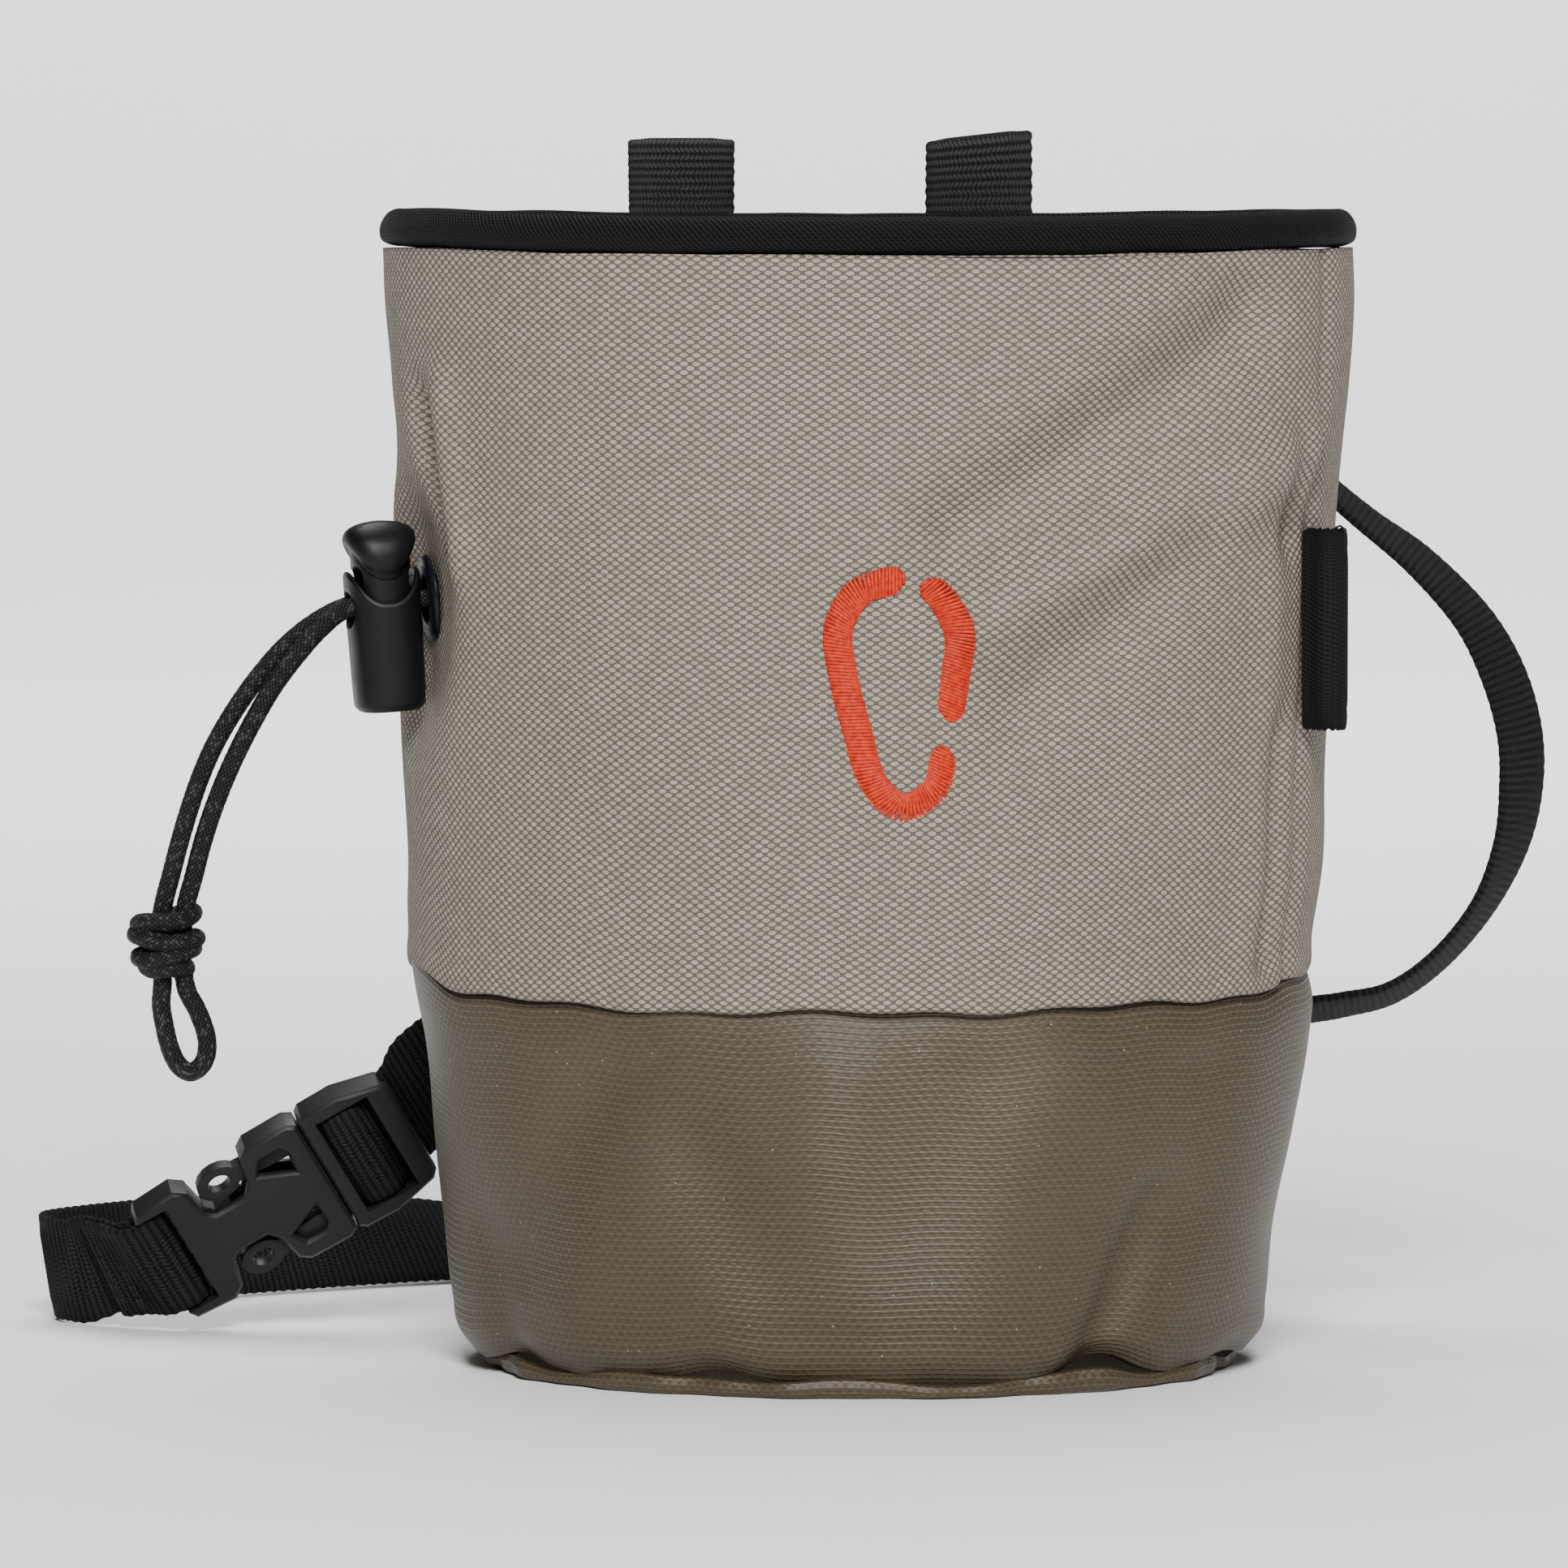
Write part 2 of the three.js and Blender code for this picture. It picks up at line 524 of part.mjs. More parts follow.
// Cord lock: a barrel with a well, crossed by the cord, and a button that slides down in the well
const LOCK_SIDES = 18;
const LOCK_TILT = 3.9;
const cordHeight = BARREL.tall - CORD_SLOT.drop;

function oval(width, depth, height, dip = 0) {
  return ring((turn) => {
    const c = Math.cos(degrees(turn));
    const s = Math.sin(degrees(turn));
    const square = (value) => Math.sign(value) * Math.abs(value) ** 0.8;
    return new THREE.Vector3(width / 2 * square(c), depth / 2 * square(s), height - dip * s * s);
  }, LOCK_SIDES);
}

// A round cornered slot through the lock, along the cord
function cordSlot(tall, bottom, r) {
  const shape = new THREE.Shape();
  const halfWide = CORD_SLOT.wide / 2;
  shape.moveTo(-halfWide + r, bottom);
  shape.absarc(halfWide - r, bottom + r, r, -Math.PI / 2, 0);
  shape.absarc(halfWide - r, bottom + tall - r, r, 0, Math.PI / 2);
  shape.absarc(-halfWide + r, bottom + tall - r, r, Math.PI / 2, Math.PI);
  shape.absarc(-halfWide + r, bottom + r, r, Math.PI, Math.PI * 1.5);
  const depth = 2 * BARREL.width;
  const slot = new THREE.ExtrudeGeometry(shape, { depth, bevelEnabled: false, curveSegments: 3 });
  slot.translate(0, 0, -depth / 2);
  slot.rotateX(Math.PI / 2);
  slot.rotateZ(Math.PI / 2);
  return slot;
}

function lockBarrel() {
  const { width, depth, tall, wall, floor, dip } = BARREL;
  const rings = [
    oval(width * 0.66, depth * 0.66, 0),
    oval(width * 0.86, depth * 0.86, 0.5),
    oval(width * 0.94, depth * 0.94, 1.8),
    oval(width * 0.97, depth * 0.97, tall * 0.45),
    oval(width, depth, tall - dip - 1),
    oval(width, depth, tall - wall / 2, dip),
    oval(width - wall, depth - wall, tall, dip),
    oval(width - 2 * wall, depth - 2 * wall, tall - wall / 2, dip),
    oval(width - 2 * wall, depth - 2 * wall, floor),
  ];
  const slotBottom = cordHeight + CORD.diameter / 2 + 2 * GAP - CORD_SLOT.tall;
  return cut(loft(rings, 'capped'), cordSlot(CORD_SLOT.tall, slotBottom, CORD_SLOT.tall / 2));
}

function lockButton() {
  const { travel, clear, head, overhang } = BUTTON;
  const { width, depth, tall, wall, floor, dip } = BARREL;
  const stemWidth = width - 2 * wall - 2 * clear;
  const stemDepth = depth - 2 * wall - 2 * clear;
  const under = tall + travel + GAP;
  const rings = [
    oval(stemWidth * 0.9, stemDepth * 0.9, floor + travel + 2 * GAP),
    oval(stemWidth, stemDepth, floor + travel + 2 * GAP + 0.5),
    oval(stemWidth, stemDepth, under - 0.2, dip),
    oval(width * 0.9, depth * 0.9, under, dip),
    oval(width - 2 * overhang, depth - 2 * overhang, under + 0.5, dip * 0.9),
    oval(width * 0.95, depth * 0.95, under + 1.1, dip * 0.62),
    oval(width * 0.74, depth * 0.74, under + 1.75, dip * 0.32),
    oval(width * 0.34, depth * 0.34, under + head - dip + 0.7, 0.1),
  ];
  const slotBottom = cordHeight - CORD.diameter / 2 - 2 * GAP;
  const slotTall = CORD.diameter + 4 * GAP + travel;
  return cut(loft(rings, 'capped'), cordSlot(slotTall, slotBottom, CORD.diameter / 2));
}

const lock = new THREE.Group();
const lockOff = GAP + EYELET.flange + 2 * GAP + BARREL.width / 2;
const cordAt = eyeletAt.clone().addScaledVector(eyeletAxis, lockOff);
lock.position.copy(cordAt);
lock.rotation.set(0, degrees(-LOCK_TILT), degrees(EYELET_AIM.turn), 'ZYX');
bag.add(lock);
const barrelMesh = addMesh('cord_lock_barrel', lockBarrel(), PLASTIC, 0.45);
const buttonMesh = addMesh('cord_lock_button', lockButton(), PLASTIC, 0.45);
lock.add(barrelMesh, buttonMesh);
barrelMesh.position.z = -cordHeight;
buttonMesh.position.z = -cordHeight;

// Drawcord: two strands out of the lock, a knot in both, and the loop at its end
const STRAND_BACK = [
  [-57.4, -7.5, 105.4], [-61.0, -8.35, 105.0], [-65.4, -9.65, 104.6], [-70.6, -11.0, 104.2], [-75.2, -12.0, 102.0],
  [-79.4, -13.0, 98.6], [-83.2, -13.9, 94.2], [-86.4, -14.5, 89.6], [-88.9, -15.0, 85.2], [-90.8, -15.3, 80.8],
  [-92.3, -15.4, 76.4], [-93.6, -15.4, 72.0], [-94.7, -15.4, 67.8], [-95.7, -15.4, 64.0],
];
const STRAND_FRONT = [
  [-58.1, -10.6, 105.4], [-61.6, -11.6, 105.0], [-66.1, -12.9, 104.6], [-71.0, -14.0, 103.8], [-74.4, -15.0, 101.2],
  [-77.6, -15.8, 97.6], [-80.6, -16.2, 93.6], [-83.1, -16.4, 89.4], [-85.4, -16.5, 85.0], [-87.4, -16.5, 80.6],
  [-89.1, -16.4, 76.2], [-90.5, -16.2, 71.8], [-91.6, -15.9, 67.6], [-92.6, -15.7, 64.0],
];
const END_LOOP = [
  [-95.9, -15.2, 53.4], [-96.1, -15.2, 50.2], [-95.6, -15.2, 47.0], [-94.9, -15.2, 44.2], [-93.8, -15.2, 42.0],
  [-92.2, -15.2, 41.0], [-90.6, -15.2, 42.0], [-89.9, -15.2, 44.0], [-90.1, -15.2, 46.4], [-91.2, -15.2, 49.4],
  [-92.4, -15.2, 51.6], [-92.9, -15.2, 53.4],
];

function cordTube(points, stepsEach) {
  const path = new THREE.CatmullRomCurve3(points.map((p) => new THREE.Vector3(...p)), false, 'catmullrom', 0.5);
  const section = new THREE.Shape();
  for (let k = 0; k < CORD.sides; k += 1) {
    const angle = degrees(k * 360 / CORD.sides);
    const corner = [Math.cos(angle) * CORD.diameter / 2, Math.sin(angle) * CORD.diameter / 2];
    if (k === 0) section.moveTo(...corner);
    else section.lineTo(...corner);
  }
  const steps = Math.round((points.length - 1) * stepsEach);
  return new THREE.ExtrudeGeometry(section, { steps, bevelEnabled: false, extrudePath: path });
}
addMesh('drawcord_strand_back', cordTube(STRAND_BACK, 1), CLOTH.black, 0.85);
addMesh('drawcord_strand_front', cordTube(STRAND_FRONT, 1), CLOTH.black, 0.85);
addMesh('drawcord_end_loop', cordTube(END_LOOP, 1), CLOTH.black, 0.85);

// The knot: the wraps of both strands round a filled middle
const KNOT = { at: [-95.4, -15.3, 58.6], tall: 9.4, wide: 10.4 };
function knot() {
  const wraps = [
    { up: 0.335, tilt: 10, share: 0.94 }, { up: 0.05, tilt: -6, share: 1.0 }, { up: -0.17, tilt: 8, share: 0.9 },
    { up: -0.345, tilt: -4, share: 0.72 },
  ];
  const pieces = wraps.map((wrap) => {
    const radius = KNOT.wide * wrap.share / 2 - CORD.diameter / 2;
    const hoop = new THREE.TorusGeometry(radius, CORD.diameter / 2, CORD.sides - 2, 10);
    hoop.rotateY(degrees(wrap.tilt));
    hoop.translate(0, 0, wrap.up * KNOT.tall);
    return hoop;
  });
  const core = new THREE.CylinderGeometry(KNOT.wide * 0.3, KNOT.wide * 0.3, KNOT.tall * 0.98, 12);
  core.rotateX(Math.PI / 2);
  return join(core, ...pieces);
}
const knotMesh = addMesh('drawcord_knot', knot(), CLOTH.black, 0.85);
knotMesh.position.set(...KNOT.at);

// Buckle frame: along runs from the socket's end to the plug's end, across is up its face, and
// proud is towards the front
const buckleAlong = new THREE.Vector3(Math.cos(degrees(BUCKLE.rise)), 0, Math.sin(degrees(BUCKLE.rise)));
const leaned = new THREE.Vector3(0, -1, 0).applyAxisAngle(buckleAlong, degrees(BUCKLE.lean));
const buckleProud = leaned.clone();
const buckleAcross = buckleProud.clone().cross(buckleAlong).normalize();
const BUCKLE_AT = { across: -1.498, back: 0.695, up: 0.0625 };
const buckleAt = new THREE.Vector3(
  BUCKLE_AT.across * BAG.halfWidth, BUCKLE_AT.back * BAG.halfDepth, BUCKLE_AT.up * BAG.height,
);
const inBuckle = (along, across, proud) => buckleAt.clone()
  .addScaledVector(buckleAlong, along)
  .addScaledVector(buckleAcross, across)
  .addScaledVector(buckleProud, proud);
const buckleBasis = new THREE.Matrix4().makeBasis(buckleAlong, buckleAcross, buckleProud);

// The window for the strap, and the places of the two bars that it goes round
const STRAP_WINDOW = STRAP.width / 2 + GAP;
const SOCKET_BAR = 1.5;
const PLUG_BAR = 32.4;
const SOCKET_END = 26.6;
const PLUG_START = SOCKET_END + GAP;
const wrapRadius = BUCKLE.bar + GAP + STRAP.thick / 2;

// Half outlines of the buckle's two halves: along in millimetres from the socket's end, out as a share
// of half the buckle's width
const SOCKET_EDGE = [
  { along: 0.0, out: 0.80 }, { along: 0.8, out: 0.92 }, { along: 6.8, out: 0.96 }, { along: 8.6, out: 0.82 },
  { along: 9.3, out: 0.44 }, { along: 10.6, out: 0.34 }, { along: 15.2, out: 0.34 }, { along: 16.6, out: 0.50 },
  { along: 17.3, out: 0.88 }, { along: 18.8, out: 0.99 }, { along: 25.2, out: 1.00 }, { along: SOCKET_END, out: 0.92 },
];
const SOCKET_HOLE = [
  { along: 23.3, out: 0.30 }, { along: 18.4, out: 0.53 }, { along: 19.6, out: 0.71 }, { along: 22.7, out: 0.72 },
  { along: 23.5, out: 0.62 },
];
const PLUG_EDGE = [
  { along: PLUG_START, out: 0.92 }, { along: 27.8, out: 0.99 }, { along: 33.0, out: 1.00 },
  { along: 39.4, out: 0.84 }, { along: BUCKLE.length, out: 0.72 },
];
// Middle line of a plug's side arm, whose end is the ring that is pressed to open the buckle
const ARM = { wide: 2.4, thick: 2.6, ringLong: 6.6, ringWide: 4.6, hole: 0.5, ringAt: 13.0, ringOut: 0.66 };

// A flat plate from an outline with holes, level with the buckle's middle
function plate(points, holes, thick, bevel) {
  const shape = new THREE.Shape(THREE.ShapeUtils.isClockWise(points) ? [...points].reverse() : points);
  holes.forEach((hole) => shape.holes.push(new THREE.Path(hole)));
  const geometry = new THREE.ExtrudeGeometry(shape, {
    depth: thick - 2 * bevel, bevelEnabled: bevel > 0, bevelThickness: bevel, bevelSize: bevel,
    bevelOffset: -bevel, bevelSegments: 1, curveSegments: 6,
  });
  geometry.translate(0, 0, -thick / 2 + bevel);
  return geometry;
}

function halfOutline(rows) {
  const half = BUCKLE.width / 2;
  const upper = rows.map((row) => new THREE.Vector2(row.along, row.out * half));
  const lower = rows.map((row) => new THREE.Vector2(row.along, -row.out * half)).reverse();
  return [...upper, ...lower];
}

function box(alongFrom, alongTo, half, proudFrom, proudTo) {
  const geometry = new THREE.BoxGeometry(alongTo - alongFrom, 2 * half, proudTo - proudFrom);
  geometry.translate((alongFrom + alongTo) / 2, 0, (proudFrom + proudTo) / 2);
  return geometry;
}

function bar(along) {
  const rod = new THREE.CylinderGeometry(BUCKLE.bar, BUCKLE.bar, BUCKLE.width * 0.86, 10);
  rod.translate(along, 0, 0);
  return rod;
}

function buckleSocket() {
  const half = BUCKLE.width / 2;
  const hole = (side) => SOCKET_HOLE.map((row) => new THREE.Vector2(row.along, side * row.out * half));
  const body = plate(halfOutline(SOCKET_EDGE), [hole(1), hole(-1)], BUCKLE.thick, 0.5);
  const windowEnd = SOCKET_BAR + wrapRadius + STRAP.thick / 2 + 2 * GAP;
  const reach = BUCKLE.thick;
  const cavity = ARM.thick / 2 + GAP;
  const opened = cut(
    body,
    box(-1, windowEnd, STRAP_WINDOW, -reach, reach),
    box(ARM.ringAt, SOCKET_END + 1, half * 0.82, -cavity, cavity),
  );
  return join(opened, bar(SOCKET_BAR));
}

function plugArm(side) {
  const half = BUCKLE.width / 2;
  const middle = ARM.ringOut * half;
  const ring = new THREE.Shape();
  ring.absellipse(ARM.ringAt, side * middle, ARM.ringLong / 2, ARM.ringWide / 2, 0, Math.PI * 2);
  const hole = new THREE.Path();
  hole.absellipse(ARM.ringAt, side * middle, ARM.ringLong / 2 * ARM.hole, ARM.ringWide / 2 * ARM.hole, 0, Math.PI * 2);
  ring.holes.push(hole);
  const head = new THREE.ExtrudeGeometry(ring, { depth: ARM.thick, bevelEnabled: false, curveSegments: 8 });
  head.translate(0, 0, -ARM.thick / 2);
  const start = ARM.ringAt + ARM.ringLong / 2 - 1;
  const stem = plate([
    new THREE.Vector2(start, side * (middle - ARM.wide / 2)),
    new THREE.Vector2(start, side * (middle + ARM.wide / 2)),
    new THREE.Vector2(PLUG_START + 1, side * (half * 0.74)),
    new THREE.Vector2(PLUG_START + 1, side * (half * 0.74 - ARM.wide)),
  ], [], ARM.thick, 0);
  return join(head, stem);
}

function bucklePlug() {
  const frame = plate(halfOutline(PLUG_EDGE), [], BUCKLE.thick, 0.5);
  const reach = BUCKLE.thick;
  const windowStart = PLUG_BAR - wrapRadius - STRAP.thick / 2 - 2 * GAP;
  const windowEnd = BUCKLE.length - 3.2;
  const opened = cut(
    frame,
    box(windowStart, windowEnd, STRAP_WINDOW, -reach, reach),
    box(windowEnd - 1, BUCKLE.length + 1, STRAP_WINDOW, -reach, 0.4),
  );
  return join(opened, bar(PLUG_BAR), plugArm(1), plugArm(-1));
}

for (const [name, geometry] of [['buckle_socket', buckleSocket()], ['buckle_plug', bucklePlug()]]) {
  const mesh = addMesh(name, geometry, PLASTIC, 0.4);
  mesh.quaternion.setFromRotationMatrix(buckleBasis);
  mesh.position.copy(buckleAt);
}

// Belt: one length of webbing from its tail behind the plug, round the plug's bar, up behind the bag,
// through both belt loops, out in an arc on the right, down and along the floor behind the bag, and
// round to the socket's bar, where its end is sewn back on itself
function wrapRows(barAlong, from, to) {
  const rows = [];
  for (let k = 0; k <= 4; k += 1) {
    const angle = degrees(THREE.MathUtils.lerp(from, to, k / 4));
    const along = barAlong + wrapRadius * Math.cos(angle);
    rows.push({ at: inBuckle(along, 0, wrapRadius * Math.sin(angle)), wide: buckleAcross.clone() });
  }
  return rows;
}

const beside = (along, proud) => ({ at: inBuckle(PLUG_BAR + along, 0, proud), wide: buckleAcross.clone() });
const layer = STRAP.thick + GAP;
const atPlug = [
  beside(22, -wrapRadius - 1.7 * layer),
  beside(12, -wrapRadius - 1.5 * layer),
  beside(6, -wrapRadius - 0.7 * layer),
  beside(2.4, -wrapRadius - 0.1 * layer),
  ...wrapRows(PLUG_BAR, 270, 90),
  beside(2.0, wrapRadius * 0.84),
  beside(3.5, 0),
  beside(5.0, -wrapRadius * 0.5),
  beside(8.0, -wrapRadius * 0.75),
  beside(12.0, -wrapRadius * 1.1),
];

// Each row: across is a share of BAG.halfWidth, back of BAG.halfDepth and up of BAG.height, and wide
// is the direction of the webbing's width
const RISE_ROWS = [
  { across: -0.82, back: 0.78, up: 0.235, wide: [-0.45, -0.15, 0.85] },
  { across: -0.73, back: 0.90, up: 0.295, wide: [-0.50, 0.45, 0.60] },
  { across: -0.76, back: 1.04, up: 0.395, wide: [-0.10, 0.98, 0.00] },
  { across: -0.84, back: 1.11, up: 0.52, wide: [0.05, 0.99, 0.00] },
  { across: -0.86, back: 1.14, up: 0.65, wide: [0.05, 0.99, 0.05] },
  { across: -0.80, back: 1.07, up: 0.770, wide: [-0.10, 0.90, 0.35] },
  { across: -0.68, back: 0.88, up: 0.838, wide: [-0.25, 0.40, 0.85] },
];
const ARC_ROWS = [
  { across: 0.66, back: 0.86, up: 0.832, wide: [0.10, 0.50, 0.84] },
  { across: 0.83, back: 0.80, up: 0.800, wide: [0.12, 0.86, 0.45] },
  { across: 0.95, back: 0.77, up: 0.760, wide: [0.13, 0.96, 0.16] },
  { across: 1.06, back: 0.76, up: 0.722, wide: [0.16, 0.98, 0.13] },
  { across: 1.17, back: 0.75, up: 0.686, wide: [0.22, 0.96, 0.17] },
  { across: 1.28, back: 0.74, up: 0.637, wide: [0.33, 0.93, 0.14] },
  { across: 1.345, back: 0.73, up: 0.588, wide: [0.41, 0.90, 0.11] },
  { across: 1.382, back: 0.73, up: 0.535, wide: [0.44, 0.90, 0.05] },
  { across: 1.386, back: 0.73, up: 0.485, wide: [0.43, 0.90, -0.05] },
  { across: 1.365, back: 0.735, up: 0.433, wide: [0.34, 0.93, -0.12] },
  { across: 1.308, back: 0.755, up: 0.379, wide: [0.22, 0.96, -0.16] },
  { across: 1.219, back: 0.78, up: 0.332, wide: [0.16, 0.97, -0.19] },
  { across: 1.118, back: 0.82, up: 0.300, wide: [0.12, 0.97, -0.22] },
  { across: 1.010, back: 0.88, up: 0.287, wide: [0.08, 0.96, -0.26] },
  { across: 0.880, back: 0.95, up: 0.275, wide: [0.15, 0.95, -0.26] },
  { across: 0.700, back: 1.12, up: 0.236, wide: [0.40, 0.90, -0.10] },
  { across: 0.500, back: 1.40, up: 0.163, wide: [0.55, 0.83, 0.00] },
  { across: 0.320, back: 1.68, up: 0.072, wide: [0.60, 0.80, 0.00] },
  { across: 0.160, back: 1.91, up: 0.0135, wide: [0.60, 0.80, 0.00] },
];
// The stretch on the floor: lean is how far the webbing leans out from standing on its edge, in degrees
const FLOOR_ROWS = [
  { across: 0.02, back: 2.09, lean: 90, wide: [0.58, 0.82] },
  { across: -0.18, back: 2.26, lean: 90, wide: [0.35, 0.94] },
  { across: -0.45, back: 2.32, lean: 84, wide: [-0.10, 0.99] },
  { across: -0.70, back: 2.22, lean: 64, wide: [-0.45, 0.89] },
  { across: -0.92, back: 2.06, lean: 45, wide: [-0.58, 0.81] },
  { across: -1.14, back: 1.88, lean: 33, wide: [-0.64, 0.77] },
  { across: -1.35, back: 1.67, lean: 23, wide: [-0.71, 0.70] },
  { across: -1.53, back: 1.44, lean: 14, wide: [-0.77, 0.64] },
  { across: -1.66, back: 1.24, lean: 9, wide: [-0.83, 0.56] },
  { across: -1.735, back: 1.10, lean: 8, wide: [-0.97, 0.20] },
  { across: -1.748, back: 1.01, lean: 9, wide: [-1.00, -0.05] },
  { across: -1.725, back: 0.92, lean: 11, wide: [-0.97, -0.25] },
  { across: -1.68, back: 0.855, lean: 14, wide: [-0.92, -0.30] },
];
// The sewn stretch between the floor and the socket's bar, used by both of its layers
const SEWN_ROWS = [
  { across: -1.625, back: 0.805, up: 0.0555, wide: [-0.42, -0.04, 0.90] },
  { across: -1.575, back: 0.755, up: 0.0570, wide: [-0.48, -0.16, 0.86] },
];

const spaceRow = (row) => ({
  at: new THREE.Vector3(row.across * BAG.halfWidth, row.back * BAG.halfDepth, row.up * BAG.height),
  wide: new THREE.Vector3(...row.wide).normalize(),
});
const floorRow = (row) => {
  const lean = degrees(row.lean);
  const out = new THREE.Vector2(...row.wide).normalize().multiplyScalar(Math.sin(lean));
  const up = STRAP.width / 2 * Math.cos(lean) + STRAP.thick / 2 * Math.sin(lean) + GAP;
  return {
    at: new THREE.Vector3(row.across * BAG.halfWidth, row.back * BAG.halfDepth, up),
    wide: new THREE.Vector3(out.x, out.y, Math.cos(lean)),
  };
};
const beltOff = sewnOff + BELT_LOOP.thick / 2 + 3 * GAP + STRAP.thick / 2;
const loopRow = (across) => {
  const wall = backWall(across * BAG.halfWidth, BELT_HEIGHT);
  return {
    at: new THREE.Vector3(across * BAG.halfWidth, wall.back + beltOff * wall.stretch, BELT_HEIGHT),
    wide: new THREE.Vector3(0, 0, 1),
  };
};
const sewn = (side) => [
  ...SEWN_ROWS.map((row) => {
    const place = spaceRow(row);
    place.at.addScaledVector(buckleProud, side * layer * 0.6);
    return place;
  }),
  { at: inBuckle(SOCKET_BAR - 3.8, 0.2, side * layer * 0.75), wide: buckleAcross.clone() },
  { at: inBuckle(SOCKET_BAR - 1.5, 0.0, side * wrapRadius * 0.92), wide: buckleAcross.clone() },
];
const beltRows = [
  ...atPlug,
  ...RISE_ROWS.map(spaceRow),
  ...[-0.53, -0.39, -0.24, -0.08, 0.09, 0.24, 0.38, 0.50].map(loopRow),
  ...ARC_ROWS.map(spaceRow),
  ...FLOOR_ROWS.map(floorRow),
  ...sewn(-1),
  ...wrapRows(SOCKET_BAR, -90, 90),
  ...sewn(1).reverse(),
];
addMesh('belt_strap', strip(beltRows, STRAP.width, STRAP.thick, 2), CLOTH.black, 0.8);

export default bag;
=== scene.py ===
"""The looks of a climber's chalk bag that stands on its base with its belt lying behind it.

Metres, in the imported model's own frame: +Z up, -Y the bag's front, +X right seen from the front.
"""

import math

import bmesh
import bpy
import numpy as np
from mathutils import Matrix, Vector, noise


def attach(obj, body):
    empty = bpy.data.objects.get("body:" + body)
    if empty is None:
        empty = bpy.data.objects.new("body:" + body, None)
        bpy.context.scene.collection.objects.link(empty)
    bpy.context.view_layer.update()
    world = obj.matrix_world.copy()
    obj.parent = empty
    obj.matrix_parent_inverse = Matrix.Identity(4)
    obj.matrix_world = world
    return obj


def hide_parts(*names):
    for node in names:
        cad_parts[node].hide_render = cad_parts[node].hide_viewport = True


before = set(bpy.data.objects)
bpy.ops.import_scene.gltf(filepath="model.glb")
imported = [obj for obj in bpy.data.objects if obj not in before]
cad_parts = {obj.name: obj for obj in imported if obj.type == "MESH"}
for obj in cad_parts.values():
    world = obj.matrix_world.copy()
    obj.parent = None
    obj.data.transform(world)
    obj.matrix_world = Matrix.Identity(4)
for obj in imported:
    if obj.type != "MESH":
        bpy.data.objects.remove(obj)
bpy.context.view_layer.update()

# Studio: a wide pale sheet that sweeps up far from the bag, under soft boxes, the key one in front
# and above, and a camera far off with a long lens, a little above the bag's middle.
MM = 0.001
CAMERA_PLACE = Vector((-0.0116, -1.5, 0.165))
CAMERA_AIM = Vector((-0.0116, 0.0, 0.0793))
LENS_MM = 251.96
SHEET_COLOUR = (0.93, 0.93, 0.93, 1)
SHEET_PROFILE = [(0.4, 0.0), (1.2, 0.0), (2.2, 0.0), (2.6, 0.03), (2.9, 0.14), (3.1, 0.36), (3.2, 0.75)]
SHEET_SIDES = 48
SKY_STRENGTH = 0.19
SOFT_BOXES = [
    {"name": "key_box", "place": (0.04, -1.45, 1.05), "target": (0, 0, 0.08), "side": 0.5, "power": 46},
    {"name": "top_box", "place": (0.0, 0.5, 1.6), "target": (0, 0.2, 0), "side": 1.2, "power": 20},
    {"name": "back_box", "place": (0.0, 1.5, 1.7), "target": (0, 2.8, 0.1), "side": 1.2, "power": 72},
]


def aim(thing, place, target):
    """Puts a camera or a light at a place, looking at the target."""
    thing.location = place
    thing.rotation_euler = (Vector(target) - Vector(place)).to_track_quat("-Z", "Y").to_euler()


scene = bpy.context.scene
lens = bpy.data.cameras.new("camera")
lens.lens = LENS_MM
lens.sensor_width = 36
lens.clip_start = 0.05
camera = bpy.data.objects.new("camera", lens)
scene.collection.objects.link(camera)
aim(camera, CAMERA_PLACE, CAMERA_AIM)
scene.camera = camera

for row in SOFT_BOXES:
    lamp = bpy.data.lights.new(row["name"], "AREA")
    lamp.size = row["side"]
    lamp.energy = row["power"]
    box = bpy.data.objects.new(row["name"], lamp)
    scene.collection.objects.link(box)
    aim(box, row["place"], row["target"])

sky = bpy.data.worlds.new("studio_sky")
sky.use_nodes = True
sky.node_tree.nodes["Background"].inputs["Strength"].default_value = SKY_STRENGTH
scene.world = sky


def new_material(name, colour, roughness, **sockets):
    """A material with its tree and its shader, ready for more nodes."""
    material = bpy.data.materials.new(name)
    material.use_nodes = True
    shader = material.node_tree.nodes["Principled BSDF"]
    shader.inputs["Base Color"].default_value = colour
    shader.inputs["Roughness"].default_value = roughness
    for socket, value in sockets.items():
        shader.inputs[socket.replace("_", " ")].default_value = value
    return material, material.node_tree, shader


sheet_finish, _, _ = new_material("pale_sheet", SHEET_COLOUR, 0.9)
sheet = bmesh.new()
bends = [[
    sheet.verts.new((r * math.cos(k * math.tau / SHEET_SIDES), r * math.sin(k * math.tau / SHEET_SIDES), up))
    for k in range(SHEET_SIDES)] for r, up in SHEET_PROFILE]
sheet.faces.new(bends[0])
for low, high in zip(bends, bends[1:]):
    for k in range(SHEET_SIDES):
        sheet.faces.new((low[k - 1], high[k - 1], high[k], low[k]))
bmesh.ops.recalc_face_normals(sheet, faces=sheet.faces)
if sheet.faces[:][0].normal.z < 0:
    bmesh.ops.reverse_faces(sheet, faces=sheet.faces)
sheet_mesh = bpy.data.meshes.new("studio_sheet")
sheet.to_mesh(sheet_mesh)
sheet.free()
sheet_mesh.polygons.foreach_set("use_smooth", [True] * len(sheet_mesh.polygons))
sheet_mesh.materials.append(sheet_finish)
floor = bpy.data.objects.new("studio_sheet", sheet_mesh)
scene.collection.objects.link(floor)

